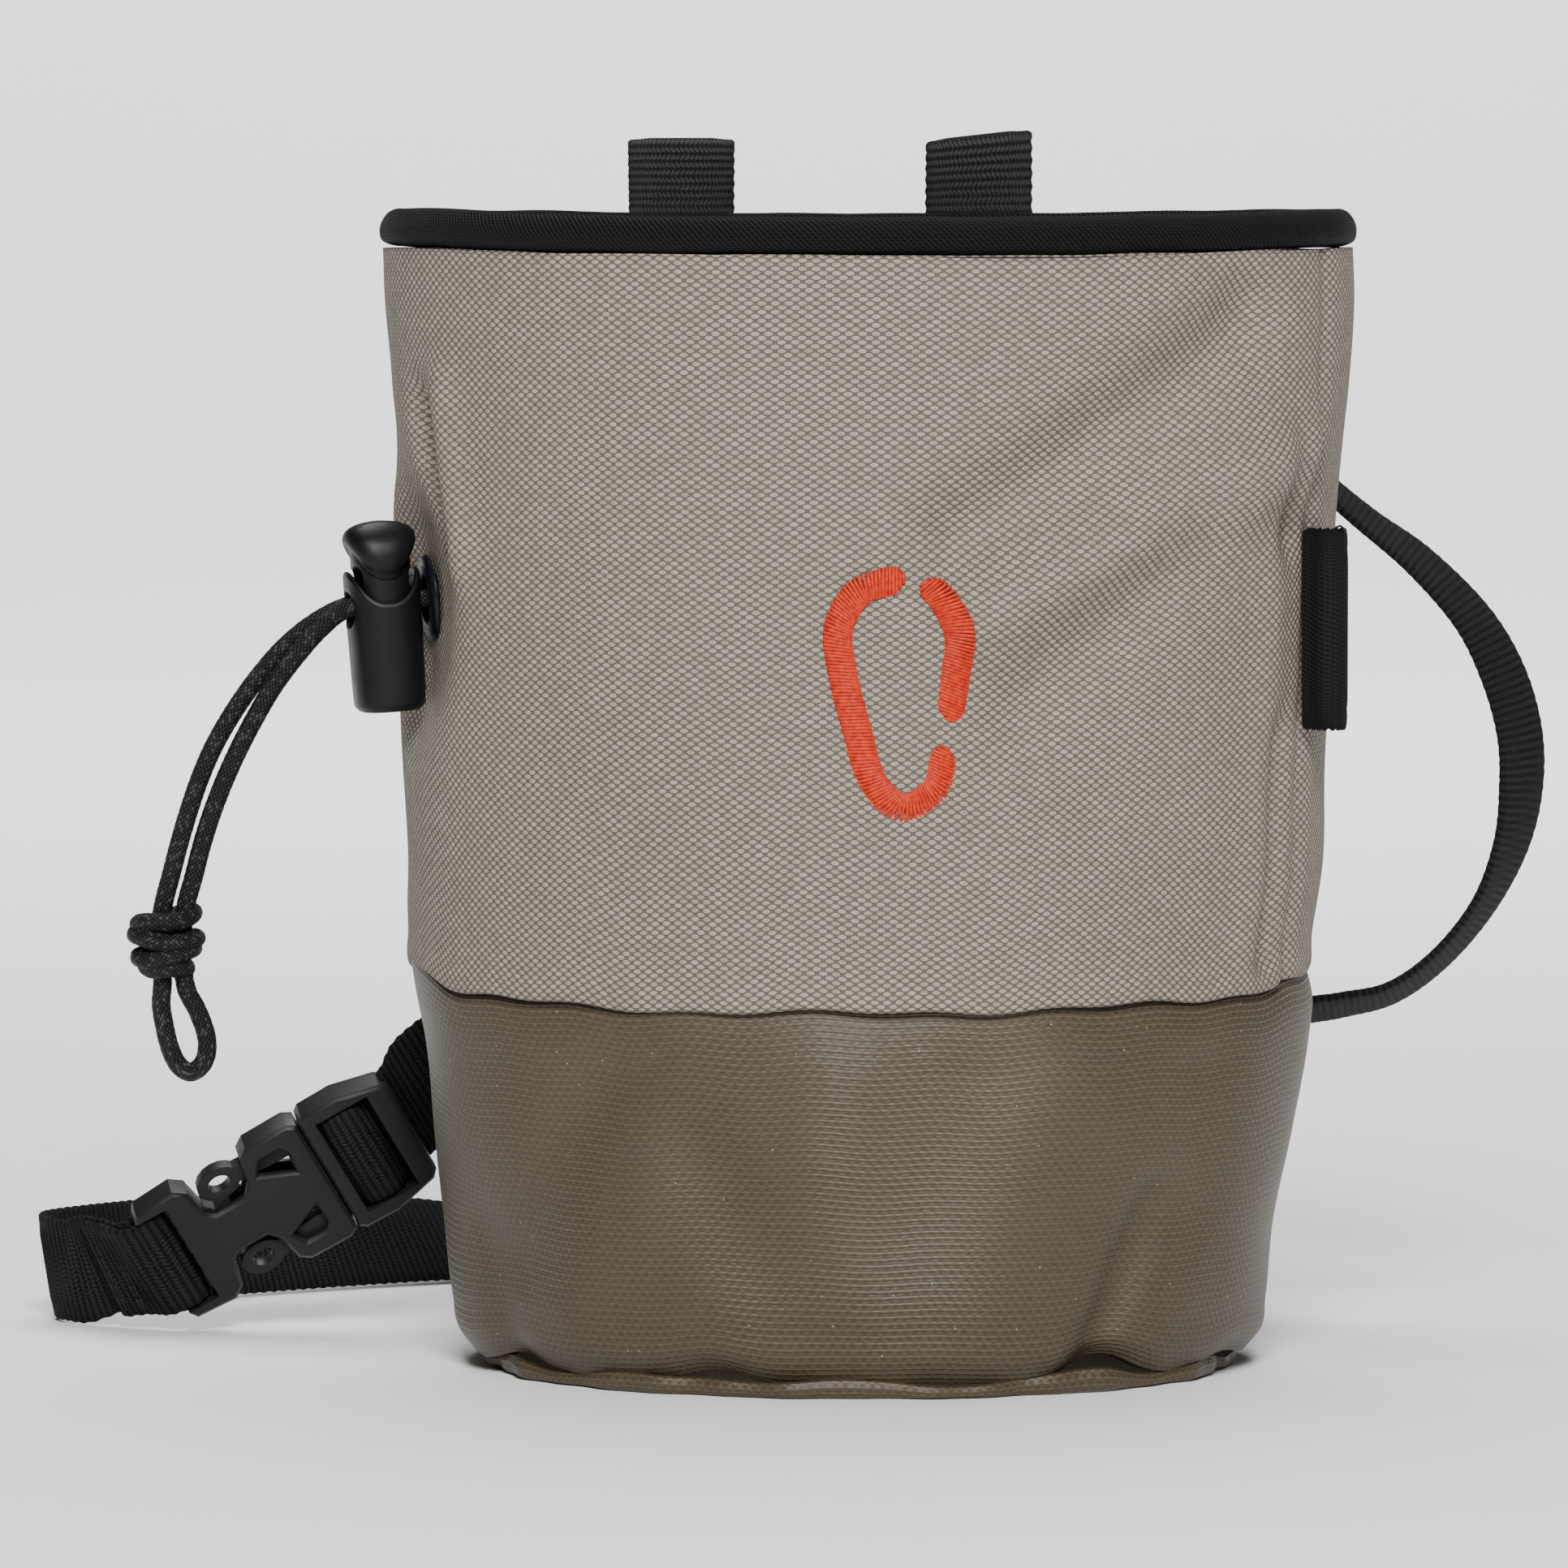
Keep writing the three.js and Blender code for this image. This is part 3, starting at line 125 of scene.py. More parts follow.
# Upper panel: heavy grey basket-woven nylon, sewn to a tube at the right side seam, folded under
# at its hem and pulled in round the eyelet. It is one padded wall, with slack folds across it.
HALF_WIDTH = 66.3 * MM
HALF_DEPTH = 52.5 * MM
RIM_HEIGHT = 158 * MM
HEM_HEIGHT = 53 * MM
HEM_DIP = 0.5 * MM
RIM_DIP = 0.9 * MM
BINDING_TALL = 5.0 * MM
SEAM_GAP = 0.3 * MM
UPPER_WALL = 2.0 * MM
FOLD_DEPTH = 1.2 * MM
FOLD_REACH = 8 * MM
PANEL_TOP = RIM_HEIGHT - BINDING_TALL - SEAM_GAP
UPPER_TALL = PANEL_TOP - HEM_HEIGHT
SEAM_TURN = 338.5
EYELET_TURN = 192
EYELET_HEIGHT = 105.3 * MM
EYELET_RIM = 5.8 * MM
EYELET_DENT = 4.4 * MM
DENT_FORWARD = 0.62
HEM_FLARE = 0.7 * MM
HEM_WAVE = 0.22 * MM

# Each row: rise is a share of the panel's height, left and right are shares of HALF_WIDTH, and deep
# is a share of HALF_DEPTH
UPPER_SECTIONS = [
    {"rise": 0.00, "left": 0.943, "right": 0.905, "deep": 0.985},
    {"rise": 0.05, "left": 0.952, "right": 0.918, "deep": 0.990},
    {"rise": 0.14, "left": 0.952, "right": 0.938, "deep": 0.985},
    {"rise": 0.27, "left": 0.962, "right": 0.943, "deep": 0.980},
    {"rise": 0.40, "left": 0.970, "right": 0.954, "deep": 0.980},
    {"rise": 0.52, "left": 0.979, "right": 0.960, "deep": 0.982},
    {"rise": 0.63, "left": 0.982, "right": 0.966, "deep": 0.985},
    {"rise": 0.72, "left": 0.982, "right": 0.976, "deep": 0.987},
    {"rise": 0.82, "left": 0.987, "right": 0.990, "deep": 0.990},
    {"rise": 0.93, "left": 0.999, "right": 0.998, "deep": 0.997},
    {"rise": 1.00, "left": 1.000, "right": 0.994, "deep": 1.000},
]
# Folds and creases run from one turn and rise to another; depth and reach are shares of FOLD_DEPTH
# and FOLD_REACH, and a negative depth is a ridge
UPPER_FOLDS = [
    {"turn": 320, "rise": 0.90, "to_turn": 281, "to_rise": 0.63, "depth": 3.60, "reach": 0.85},
    {"turn": 333, "rise": 0.73, "to_turn": 283, "to_rise": 0.53, "depth": -3.00, "reach": 0.75},
    {"turn": 312, "rise": 0.62, "to_turn": 289, "to_rise": 0.40, "depth": 2.40, "reach": 0.80},
    {"turn": 262, "rise": 0.88, "to_turn": 254, "to_rise": 0.60, "depth": 0.60, "reach": 1.30},
    {"turn": 200, "rise": 0.78, "to_turn": 205, "to_rise": 0.62, "depth": 3.00, "reach": 0.42},
    {"turn": 208, "rise": 0.82, "to_turn": 212, "to_rise": 0.58, "depth": -1.30, "reach": 0.45},
    {"turn": 332, "rise": 0.74, "to_turn": 332, "to_rise": 0.62, "depth": 1.90, "reach": 0.50},
    {"turn": 332, "rise": 0.34, "to_turn": 332, "to_rise": 0.05, "depth": 1.60, "reach": 0.42},
    {"turn": 328, "rise": 0.60, "to_turn": 327, "to_rise": 0.06, "depth": -0.70, "reach": 0.45},
    {"turn": 181, "rise": 0.72, "to_turn": 186, "to_rise": 0.70, "depth": 0.70, "reach": 0.60},
    {"turn": 228, "rise": 0.30, "to_turn": 250, "to_rise": 0.10, "depth": 0.60, "reach": 1.30},
    {"turn": 300, "rise": 0.28, "to_turn": 318, "to_rise": 0.08, "depth": 0.65, "reach": 1.00},
    {"turn": 339, "rise": 1.00, "to_turn": 339, "to_rise": 0.00, "depth": 0.80, "reach": 0.26},
]


def smooth_lookup(rows, column, rise):
    """A column of a section table at each rise, on a smooth line through its rows."""
    at = np.array([row["rise"] for row in rows])
    values = np.array([row[column] for row in rows])
    slopes = np.gradient(values, at)
    k = np.clip(np.searchsorted(at, rise) - 1, 0, len(at) - 2)
    span = at[k + 1] - at[k]
    t = np.clip((rise - at[k]) / span, 0, 1)
    start = values[k] * (1 + 2 * t) * (1 - t) ** 2 + slopes[k] * span * t * (1 - t) ** 2
    end = values[k + 1] * t * t * (3 - 2 * t) + slopes[k + 1] * span * t * t * (t - 1)
    return start + end


def fold_depth(folds, tall, turn, rise):
    """How far all folds pull the wall in, worked out on the unrolled wall."""
    per_degree = math.radians(1) * (HALF_WIDTH + HALF_DEPTH) / 2
    depth = np.zeros(np.broadcast(turn, rise).shape)
    for fold in folds:
        start = ((fold["turn"] - turn + 180) % 360 - 180) * per_degree, (fold["rise"] - rise) * tall
        end = ((fold["to_turn"] - turn + 180) % 360 - 180) * per_degree, (fold["to_rise"] - rise) * tall
        run = end[0] - start[0], end[1] - start[1]
        share = np.clip(-(start[0] * run[0] + start[1] * run[1]) / (run[0] ** 2 + run[1] ** 2), 0, 1)
        distance = np.hypot(start[0] + share * run[0], start[1] + share * run[1])
        depth += fold["depth"] * FOLD_DEPTH * np.exp(-((distance / (fold["reach"] * FOLD_REACH)) ** 2))
    return depth


def wall_point(sections, rise, turn, height, sunk):
    """Points of the bag's oval wall, sunk inwards from its outer face."""
    angle = np.radians(turn)
    left, right, deep = (smooth_lookup(sections, column, rise) for column in ("left", "right", "deep"))
    half_width = HALF_WIDTH * np.where(np.cos(angle) < 0, left, right)
    half_depth = HALF_DEPTH * deep
    out = np.stack([np.cos(angle) / half_width, np.sin(angle) / half_depth], -1)
    out /= np.linalg.norm(out, axis=-1, keepdims=True)
    x = half_width * np.cos(angle) - out[..., 0] * sunk
    y = half_depth * np.sin(angle) - out[..., 1] * sunk
    return np.stack([x, y, height + 0 * x], -1)


# Where the hem rides up at the bag's sides, as a share of FOLD_DEPTH
HEM_CORNERS = [{"turn": 188, "lift": 2.8, "spread": 14}, {"turn": 5, "lift": 1.8, "spread": 30}]


def raised_at(rows, turn):
    """How far the rows of a table raise an edge at each turn."""
    return sum(
        row["lift"] * FOLD_DEPTH * np.exp(-((((row["turn"] - turn + 180) % 360 - 180) / row["spread"]) ** 2))
        for row in rows
    )


def hem_dip(turn):
    angle = np.radians(turn)
    wave = HEM_WAVE * (np.sin(9 * angle + 1) + np.sin(23 * angle))
    return HEM_DIP * ((1 - np.sin(angle)) / 2) ** 2 - raised_at(HEM_CORNERS, turn) + wave


def rim_dip(turn):
    return RIM_DIP * np.sin(np.radians(turn)) ** 2


def upper_point(turn, rise, inset):
    """A point of the upper panel, inset from its outer face."""
    height = HEM_HEIGHT + rise * UPPER_TALL - hem_dip(turn) * (1 - rise) - rim_dip(turn) * rise
    across = (turn - EYELET_TURN) * math.radians(1) * HALF_WIDTH * np.where(turn > EYELET_TURN, DENT_FORWARD, 1)
    off = (height - EYELET_HEIGHT) * np.where(height < EYELET_HEIGHT, 0.6, 0.75)
    dent = EYELET_DENT * np.exp(-((np.hypot(across, off) / (2 * EYELET_RIM)) ** 4))
    flare = HEM_FLARE * np.exp(-((rise * UPPER_TALL / HEM_FLARE / 4) ** 2))
    sunk = inset + dent - flare + fold_depth(UPPER_FOLDS, UPPER_TALL, turn, rise)
    return wall_point(UPPER_SECTIONS, rise, turn, height, sunk)


def slack(points, size, depth, seed):
    """Moves points by soft noise, as cloth that isn't stretched flat."""
    shift = Vector((seed, 0, 0))
    flat = points.reshape(-1, 3)
    for k, point in enumerate(flat):
        flat[k] += np.array(noise.noise_vector(Vector(point) / size + shift)) * depth
    return flat.reshape(points.shape)


def turned_grid(name, rings, lengths, girth, closed=True):
    """A mesh from rings of points round the bag, with a UV map in metres along the cloth.

    A closed grid joins its last ring to its first one, and any other gets a face on each end.
    """
    rows, columns, _ = rings.shape
    bands = rows if closed else rows - 1
    row, column = (part.ravel() for part in np.meshgrid(np.arange(bands), np.arange(columns), indexing="ij"))
    next_row, next_column = (row + 1) % rows, (column + 1) % columns
    corners = [row * columns + column, row * columns + next_column, next_row * columns + next_column,
               next_row * columns + column]
    u = np.stack([column, column + 1, column + 1, column], -1) * girth / columns
    v = np.stack([lengths[row], lengths[row], lengths[row + 1], lengths[row + 1]], -1)
    faces = np.stack(corners, -1)
    points = rings.reshape(-1, 3)
    a, b, c = (points[faces[:, k]] for k in (0, 1, 2))
    if np.einsum("ij,ij->", a - points.mean(0), np.cross(b - a, c - a)) < 0:
        faces, u, v = faces[:, ::-1], u[:, ::-1], v[:, ::-1]
    ends = [] if closed else [list(range(columns)), list(range((rows - 1) * columns, rows * columns))]
    mesh = bpy.data.meshes.new(name)
    mesh.from_pydata(points.tolist(), [], faces.tolist() + ends)
    chart = np.zeros((len(mesh.loops), 2))
    chart[: faces.size, 0] = u.ravel()
    chart[: faces.size, 1] = v.ravel()
    mesh.uv_layers.new(name="cloth").data.foreach_set("uv", chart.ravel())
    if ends:
        body = bmesh.new()
        body.from_mesh(mesh)
        bmesh.ops.recalc_face_normals(body, faces=body.faces)
        body.to_mesh(mesh)
        body.free()
    piece = bpy.data.objects.new(name, mesh)
    scene.collection.objects.link(piece)
    return piece


def lengths_along(rings):
    """The distance from the first ring to each one, and round to the first, along one column."""
    line = np.concatenate([rings[:, 0], rings[:1, 0]])
    return np.concatenate([[0], np.cumsum(np.linalg.norm(np.diff(line, axis=0), axis=1))])


def settle(piece, material, nodes, body="bag"):
    """Gives a finished piece its material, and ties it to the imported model."""
    piece.data.materials.clear()
    piece.data.materials.append(material)
    piece.data.polygons.foreach_set("use_smooth", [True] * len(piece.data.polygons))
    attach(piece, body)
    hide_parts(*nodes)
    return piece


class Recipe:
    """Short ways to add nodes to one material's tree."""

    def __init__(self, tree):
        self.tree = tree
        self.links = tree.links

    def add(self, kind, sockets=None, **settings):
        made = self.tree.nodes.new("ShaderNode" + kind)
        for key, value in settings.items():
            setattr(made, key, value)
        for key, value in (sockets or {}).items():
            if isinstance(value, bpy.types.NodeSocket):
                self.links.new(value, made.inputs[key])
            else:
                made.inputs[key].default_value = value
        return made

    def sum(self, operation, *values):
        return self.add("Math", dict(enumerate(values)), operation=operation).outputs[0]

    def chart(self, name="cloth"):
        """The two directions of a piece's UV map."""
        parts = self.add("SeparateXYZ", {0: self.add("UVMap", uv_map=name).outputs[0]})
        return parts.outputs[0], parts.outputs[1]

    def ramp(self, factor, stops):
        made = self.add("ValToRGB", {0: factor})
        marks = made.color_ramp.elements
        while len(marks) < len(stops):
            marks.new(0.5)
        for mark, (at, colour) in zip(marks, stops):
            mark.position = at
            mark.color = (*colour, 1)
        return made.outputs[0]

    def mix(self, factor, first, second, blend="MIX"):
        made = self.add("Mix", {0: factor, 6: first, 7: second}, data_type="RGBA", blend_type=blend)
        return made.outputs[2]

    def bump(self, height, distance, strength=1.0, under=None):
        sockets = {"Height": height, "Distance": distance, "Strength": strength}
        if under is not None:
            sockets["Normal"] = under
        return self.add("Bump", sockets).outputs[0]

    def speckle(self, scale, detail=2.0, roughness=0.5):
        place = self.add("TexCoord").outputs["Object"]
        made = self.add("TexNoise", {"Vector": place, "Scale": scale, "Detail": detail, "Roughness": roughness})
        return made.outputs[0]


WEAVE_WIDE = 1.61 * MM
WEAVE_TALL = 1.14 * MM
FLOAT_HALF = (0.375, 0.33)


def basket_weave(name, wide, tall, gap_shade_colour, yarn_colour, bright_colour):
    """Staggered oval yarn floats, each in its own shade, with thin outlines of painted shade in the hollows between
    them.
    """
    material, tree, shader = new_material(name, (*yarn_colour, 1), 0.78, Specular_IOR_Level=0.3)
    made = Recipe(tree)
    u, v = made.chart()
    across, up = made.sum("DIVIDE", u, wide), made.sum("DIVIDE", v, tall)
    floats = []
    for shift in (0.0, 0.5):
        cell_across, cell_up = made.sum("ADD", across, shift), made.sum("ADD", up, shift)
        off_across = made.sum("SUBTRACT", made.sum("FRACT", cell_across), 0.5)
        off_up = made.sum("SUBTRACT", made.sum("FRACT", cell_up), 0.5)
        round_across = made.sum("POWER", made.sum("ABSOLUTE", made.sum("DIVIDE", off_across, FLOAT_HALF[0])), 2.0)
        round_up = made.sum("POWER", made.sum("ABSOLUTE", made.sum("DIVIDE", off_up, FLOAT_HALF[1])), 2.0)
        dome = made.sum("SUBTRACT", 1.0, made.sum("ADD", round_across, round_up))
        cell = made.add("CombineXYZ", {0: made.sum("FLOOR", cell_across), 1: made.sum("FLOOR", cell_up), 2: shift})
        shade = made.add("TexWhiteNoise", {"Vector": cell.outputs[0]}).outputs["Value"]
        floats.append((dome, shade))
    dome = made.sum("MAXIMUM", made.sum("MAXIMUM", floats[0][0], floats[1][0]), 0.0)
    first_on_top = made.sum("GREATER_THAN", floats[0][0], floats[1][0])
    shade = made.sum("ADD", made.sum("MULTIPLY", floats[0][1], first_on_top),
                     made.sum("MULTIPLY", floats[1][1], made.sum("SUBTRACT", 1.0, first_on_top)))
    filament = made.add("TexNoise", {
        "Vector": made.add("CombineXYZ", {0: made.sum("MULTIPLY", u, 900.0), 1: made.sum("MULTIPLY", v, 9000.0)}).outputs[0],
        "Scale": 1.0, "Detail": 1.0}).outputs[0]
    yarn = made.mix(shade, (*yarn_colour, 1), (*bright_colour, 1))
    yarn = made.mix(made.sum("MULTIPLY", filament, 0.4), yarn, (*[c * 0.55 for c in yarn_colour], 1))
    wash = made.ramp(made.speckle(14.0, 3.0), [(0.3, (0.96, 0.96, 0.96)), (0.7, (1.0, 1.0, 1.0))])
    lift = made.sum("MINIMUM", made.sum("MULTIPLY", dome, 2.6), 1.0)
    # The gap colour in the hollows between floats is painted shade.
    colour = made.mix(1.0, made.mix(lift, (*gap_shade_colour, 1), yarn), wash, "MULTIPLY")
    tree.links.new(colour, shader.inputs["Base Color"])
    relief = made.sum("ADD", made.sum("POWER", dome, 0.5), made.sum("MULTIPLY", filament, 0.15))
    tree.links.new(made.bump(relief, 0.26 * MM, 1.0), shader.inputs["Normal"])
    return material


UPPER_AROUND = 480
UPPER_ROWS = 110
INNER_ROWS = 26
HEM_RADIUS = 1.0 * MM
turns = SEAM_TURN + np.arange(UPPER_AROUND) * 360 / UPPER_AROUND
turns = (turns % 360)[None, :]


def hem_roll(steps=6):
    """The insets and drops of the rounded lower edge, from the outer face to the inner one."""
    angles = np.linspace(0, math.pi, steps + 2)[1:-1]
    return [(HEM_RADIUS * (1 - math.cos(angle)), -HEM_RADIUS * math.sin(angle) * 0.6) for angle in angles]


outer_rises = np.linspace(0, 1, UPPER_ROWS) ** 1.15
outer = upper_point(turns, outer_rises[::-1, None], 0)
roll = np.stack([upper_point(turns, np.zeros((1, 1)), inset)[0] + [0, 0, drop] for inset, drop in hem_roll()])
inner = upper_point(turns, np.linspace(0.0, 1, INNER_ROWS)[:, None], UPPER_WALL)
upper_rings = np.concatenate([outer, roll, inner])
upper_rings = slack(upper_rings, 30 * MM, 0.5 * MM, 3.1)
upper_girth = WEAVE_WIDE * round(math.pi * (HALF_WIDTH + HALF_DEPTH) / WEAVE_WIDE)
upper_panel = turned_grid("upper_panel_cloth", upper_rings, lengths_along(upper_rings), upper_girth)
# The first colour is the painted shade in the gaps between floats.
upper_cloth = basket_weave(
    "grey_basket_weave", WEAVE_WIDE, WEAVE_TALL, (0.100, 0.086, 0.070), (0.286, 0.247, 0.198), (0.372, 0.326, 0.264)
)
settle(upper_panel, upper_cloth, ["upper_panel"])

# Lower panel: a darker coated nylon with fine ribs across it, whose top edge is tucked behind the
# upper panel's hem. Its lower edge curls under towards the base, with a pleat at the right.
LOWER_WALL = 1.8 * MM
HEM_TUCK = 3.2 * MM
BASE_THICK = 1.6 * MM
LOWER_BOTTOM = BASE_THICK + SEAM_GAP
LOWER_TOP = HEM_HEIGHT - 0.9 * MM
LOWER_SECTIONS = [
    {"rise": 0.00, "left": 0.815, "right": 0.775, "deep": 0.895},
    {"rise": 0.05, "left": 0.848, "right": 0.808, "deep": 0.935},
    {"rise": 0.14, "left": 0.862, "right": 0.820, "deep": 0.955},
    {"rise": 0.33, "left": 0.876, "right": 0.834, "deep": 0.968},
    {"rise": 0.58, "left": 0.900, "right": 0.876, "deep": 0.975},
    {"rise": 0.82, "left": 0.922, "right": 0.906, "deep": 0.975},
    {"rise": 0.94, "left": 0.940, "right": 0.912, "deep": 0.970},
    {"rise": 1.00, "left": 0.946, "right": 0.902, "deep": 0.962},
]
LOWER_FOLDS = [
    {"turn": 214, "rise": 0.30, "to_turn": 236, "to_rise": 0.85, "depth": 1.30, "reach": 0.75},
    {"turn": 226, "rise": 0.15, "to_turn": 240, "to_rise": 0.55, "depth": -0.80, "reach": 0.80},
    {"turn": 246, "rise": 0.62, "to_turn": 262, "to_rise": 0.10, "depth": 0.70, "reach": 0.90},
    {"turn": 268, "rise": 0.95, "to_turn": 264, "to_rise": 0.60, "depth": -0.60, "reach": 0.75},
    {"turn": 284, "rise": 0.90, "to_turn": 276, "to_rise": 0.45, "depth": 0.60, "reach": 0.90},
    {"turn": 298, "rise": 0.75, "to_turn": 286, "to_rise": 0.20, "depth": -0.60, "reach": 1.10},
    {"turn": 312, "rise": 0.45, "to_turn": 304, "to_rise": 0.04, "depth": 1.90, "reach": 0.55},
    {"turn": 318, "rise": 0.85, "to_turn": 320, "to_rise": 0.45, "depth": 0.80, "reach": 0.80},
    {"turn": 205, "rise": 0.35, "to_turn": 210, "to_rise": 0.05, "depth": 1.00, "reach": 0.65},
]
# How far the bottom edge lifts off the base, as a share of FOLD_DEPTH
EDGE_LIFTS = [
    {"turn": 208, "lift": 1.4, "spread": 9},
    {"turn": 248, "lift": 1.5, "spread": 6},
    {"turn": 307, "lift": 2.4, "spread": 7},
    {"turn": 338, "lift": 1.0, "spread": 8},
    {"turn": 30, "lift": 1.2, "spread": 9},
    {"turn": 95, "lift": 1.6, "spread": 8},
    {"turn": 150, "lift": 1.1, "spread": 9},
]


def lower_point(turn, rise, inset):
    """A point of the lower panel, inset from its outer face."""
    tall = LOWER_TOP - LOWER_BOTTOM
    height = LOWER_BOTTOM + rise * tall - hem_dip(turn) * rise + raised_at(EDGE_LIFTS, turn) * (1 - rise) ** 6
    sunk = inset + fold_depth(LOWER_FOLDS, tall, turn, rise) * np.minimum(1, (1 - rise) * 6)
    return wall_point(LOWER_SECTIONS, rise, turn, height, sunk)


def tucked_ring(share, inset):
    """A ring of the tucked edge, behind the upper panel's wall."""
    behind = UPPER_WALL + 2 * SEAM_GAP + inset
    low = upper_point(turns, np.zeros((1, 1)), behind) - [0, 0, SEAM_GAP]
    high = upper_point(turns, np.full((1, 1), HEM_TUCK / UPPER_TALL), behind)
    return low + (high - low) * share


RIB_PITCH = 0.87 * MM
THREAD_PITCH = 0.70 * MM


def coated_ribs(name, colour, dark):
    """Fine ribs across and threads down under a coating, with painted shade in the rib hollows, and small pale specks,
    partly lint and partly painted glints of sheen.
    """
    material, tree, shader = new_material(name, (*colour, 1), 0.5, Specular_IOR_Level=0.42)
    made = Recipe(tree)
    u, v = made.chart()
    wander = made.sum("MULTIPLY", made.speckle(900.0, 1.0), 0.35)
    rib = made.sum("SINE", made.sum("MULTIPLY", made.sum("ADD", made.sum("DIVIDE", v, RIB_PITCH), wander), math.tau))
    half_rib = made.sum("SINE", made.sum("MULTIPLY", made.sum("DIVIDE", v, RIB_PITCH / 2), math.tau))
    row_shift = made.sum("MULTIPLY", made.sum("FLOOR", made.sum("ADD", made.sum("DIVIDE", v, RIB_PITCH), wander)), 0.5)
    run = made.sum("ADD", made.sum("DIVIDE", u, THREAD_PITCH * 2), row_shift)
    thread = made.sum("SINE", made.sum("MULTIPLY", made.sum("ADD", run, wander), math.tau))
    relief = made.sum("ADD", made.sum("MULTIPLY", rib, 0.6), made.sum("MULTIPLY", half_rib, 0.3))
    relief = made.sum("ADD", relief, made.sum("MULTIPLY", thread, 0.45))
    patch = made.speckle(60.0, 3.0)
    relief = made.sum("MULTIPLY", relief, made.sum("ADD", 0.45, patch))
    # Small pale specks: partly lint on the coating, partly painted glints of its sheen.
    spots = made.add("TexVoronoi", {"Vector": made.add("TexCoord").outputs["Object"], "Scale": 620.0})
    lint_and_glint = made.sum("LESS_THAN", spots.outputs["Distance"], 0.07)
    kind = made.add("SeparateXYZ", {0: spots.outputs["Color"]})
    lint_and_glint = made.sum("MULTIPLY", lint_and_glint, made.sum("GREATER_THAN", kind.outputs[0], 0.78))
    # Darker where the relief is low: painted shade in the hollows between the ribs.
    shaded = made.mix(made.sum("ADD", 0.55, made.sum("MULTIPLY", relief, 0.45)), (*dark, 1), (*colour, 1))
    wash = made.ramp(made.speckle(22.0, 3.0), [(0.3, (0.88, 0.88, 0.88)), (0.7, (1.05, 1.05, 1.05))])
    shaded = made.mix(1.0, shaded, wash, "MULTIPLY")
    shaded = made.mix(made.sum("MULTIPLY", lint_and_glint, 0.55), shaded, (0.55, 0.50, 0.40, 1))
    tree.links.new(shaded, shader.inputs["Base Color"])
    tree.links.new(made.bump(relief, 0.055 * MM, 1.0), shader.inputs["Normal"])
    return material


LOWER_ROWS = 74
lower_outer = lower_point(turns, (np.linspace(0, 1, LOWER_ROWS) ** 1.3)[::-1, None], 0)
lower_inner = lower_point(turns, np.linspace(0, 1, 16)[:, None], LOWER_WALL)
lower_rings = np.concatenate([
    lower_outer, lower_inner, tucked_ring(1, LOWER_WALL), tucked_ring(1, 0), tucked_ring(0, 0)
])
lower_rings = slack(lower_rings, 17 * MM, 0.45 * MM, 7.7)
lower_rings[..., 2] = np.maximum(lower_rings[..., 2], 0.6 * MM)
lower_girth = THREAD_PITCH * round(math.pi * (HALF_WIDTH + HALF_DEPTH) * 0.95 / THREAD_PITCH)
lower_panel = turned_grid("lower_panel_cloth", lower_rings, lengths_along(lower_rings), lower_girth)
# The last colour is the painted shade in the rib hollows.
lower_cloth = coated_ribs("olive_coated_ribs", (0.087, 0.0635, 0.036), (0.031, 0.0225, 0.0125))
settle(lower_panel, lower_cloth, ["lower_panel"])

# Base: a flat disc of the same coated cloth, whose seam edge is gathered and pokes out in small
# puckers under the side panel.
BASE_MARGIN = 1.4 * MM
BASE_PUCKER = 0.5 * MM
BASE_PUCKERS = 15


def base_ring(inset, height, ripple):
    """A ring of the base's edge, rippled up and down where the seam gathers it."""
    wave = BASE_PUCKER * np.sin(np.radians(turns) * BASE_PUCKERS)
    small = BASE_PUCKER * 0.5 * np.sin(np.radians(turns) * 37 + 1)
    lifted = height + ripple * (1 + np.sin(np.radians(turns) * 11 + 0.7)) * 0.5 * MM + raised_at(EDGE_LIFTS, turns) * 0.35 * ripple
    margin = BASE_MARGIN * (1 - 2.2 * np.cos(np.radians(turns)) ** 6)
    return wall_point(LOWER_SECTIONS, np.zeros((1, 1)), turns, lifted, inset + wave + small - margin)


middle_shares = [0.15, 0.5, 0.85]
base_rings = np.concatenate([
    *[base_ring(0, 0.0, 0) * [share, share, 1] for share in middle_shares],
    base_ring(1.0 * MM, 0.0, 0), base_ring(0.2 * MM, 0.35 * MM, 0.3), base_ring(0, 0.9 * MM, 0.7),
    base_ring(0.25 * MM, 1.5 * MM, 1.0), base_ring(0.9 * MM, 1.75 * MM, 1.0), base_ring(2.2 * MM, 1.5 * MM, 0.3),
    *[base_ring(0, 1.6 * MM, 0) * [share, share, 1] for share in middle_shares[::-1]],
])
base_panel = turned_grid("base_panel_cloth", base_rings, lengths_along(base_rings), lower_girth, closed=False)
settle(base_panel, lower_cloth, ["base_panel"])

# Rim binding: black twill tape rolled over a stiffened edge, a little proud of the panel below.
BINDING_THICK = 3.6 * MM
BINDING_PROUD = 0.5 * MM
BINDING_SECTION = [
    {"out": 0.55, "up": 0.00}, {"out": 0.95, "up": 0.16}, {"out": 1.00, "up": 0.55}, {"out": 0.72, "up": 0.90},
    {"out": 0.30, "up": 1.00}, {"out": 0.04, "up": 0.80}, {"out": 0.00, "up": 0.30}, {"out": 0.20, "up": 0.00},
]
TWILL_PITCH = 0.72 * MM


def closed_curve(points, steps):
    """A smooth closed line through a few corners."""
    corners = np.array(points, dtype=float)
    line = []
    for k in range(len(corners)):
        p0, p1, p2, p3 = (corners[(k + j - 1) % len(corners)] for j in range(4))
        for step in range(steps):
            t = step / steps
            line.append(0.5 * (2 * p1 + (p2 - p0) * t + (2 * p0 - 5 * p1 + 4 * p2 - p3) * t * t
                               + (3 * p1 - p0 - 3 * p2 + p3) * t ** 3))
    return np.array(line)


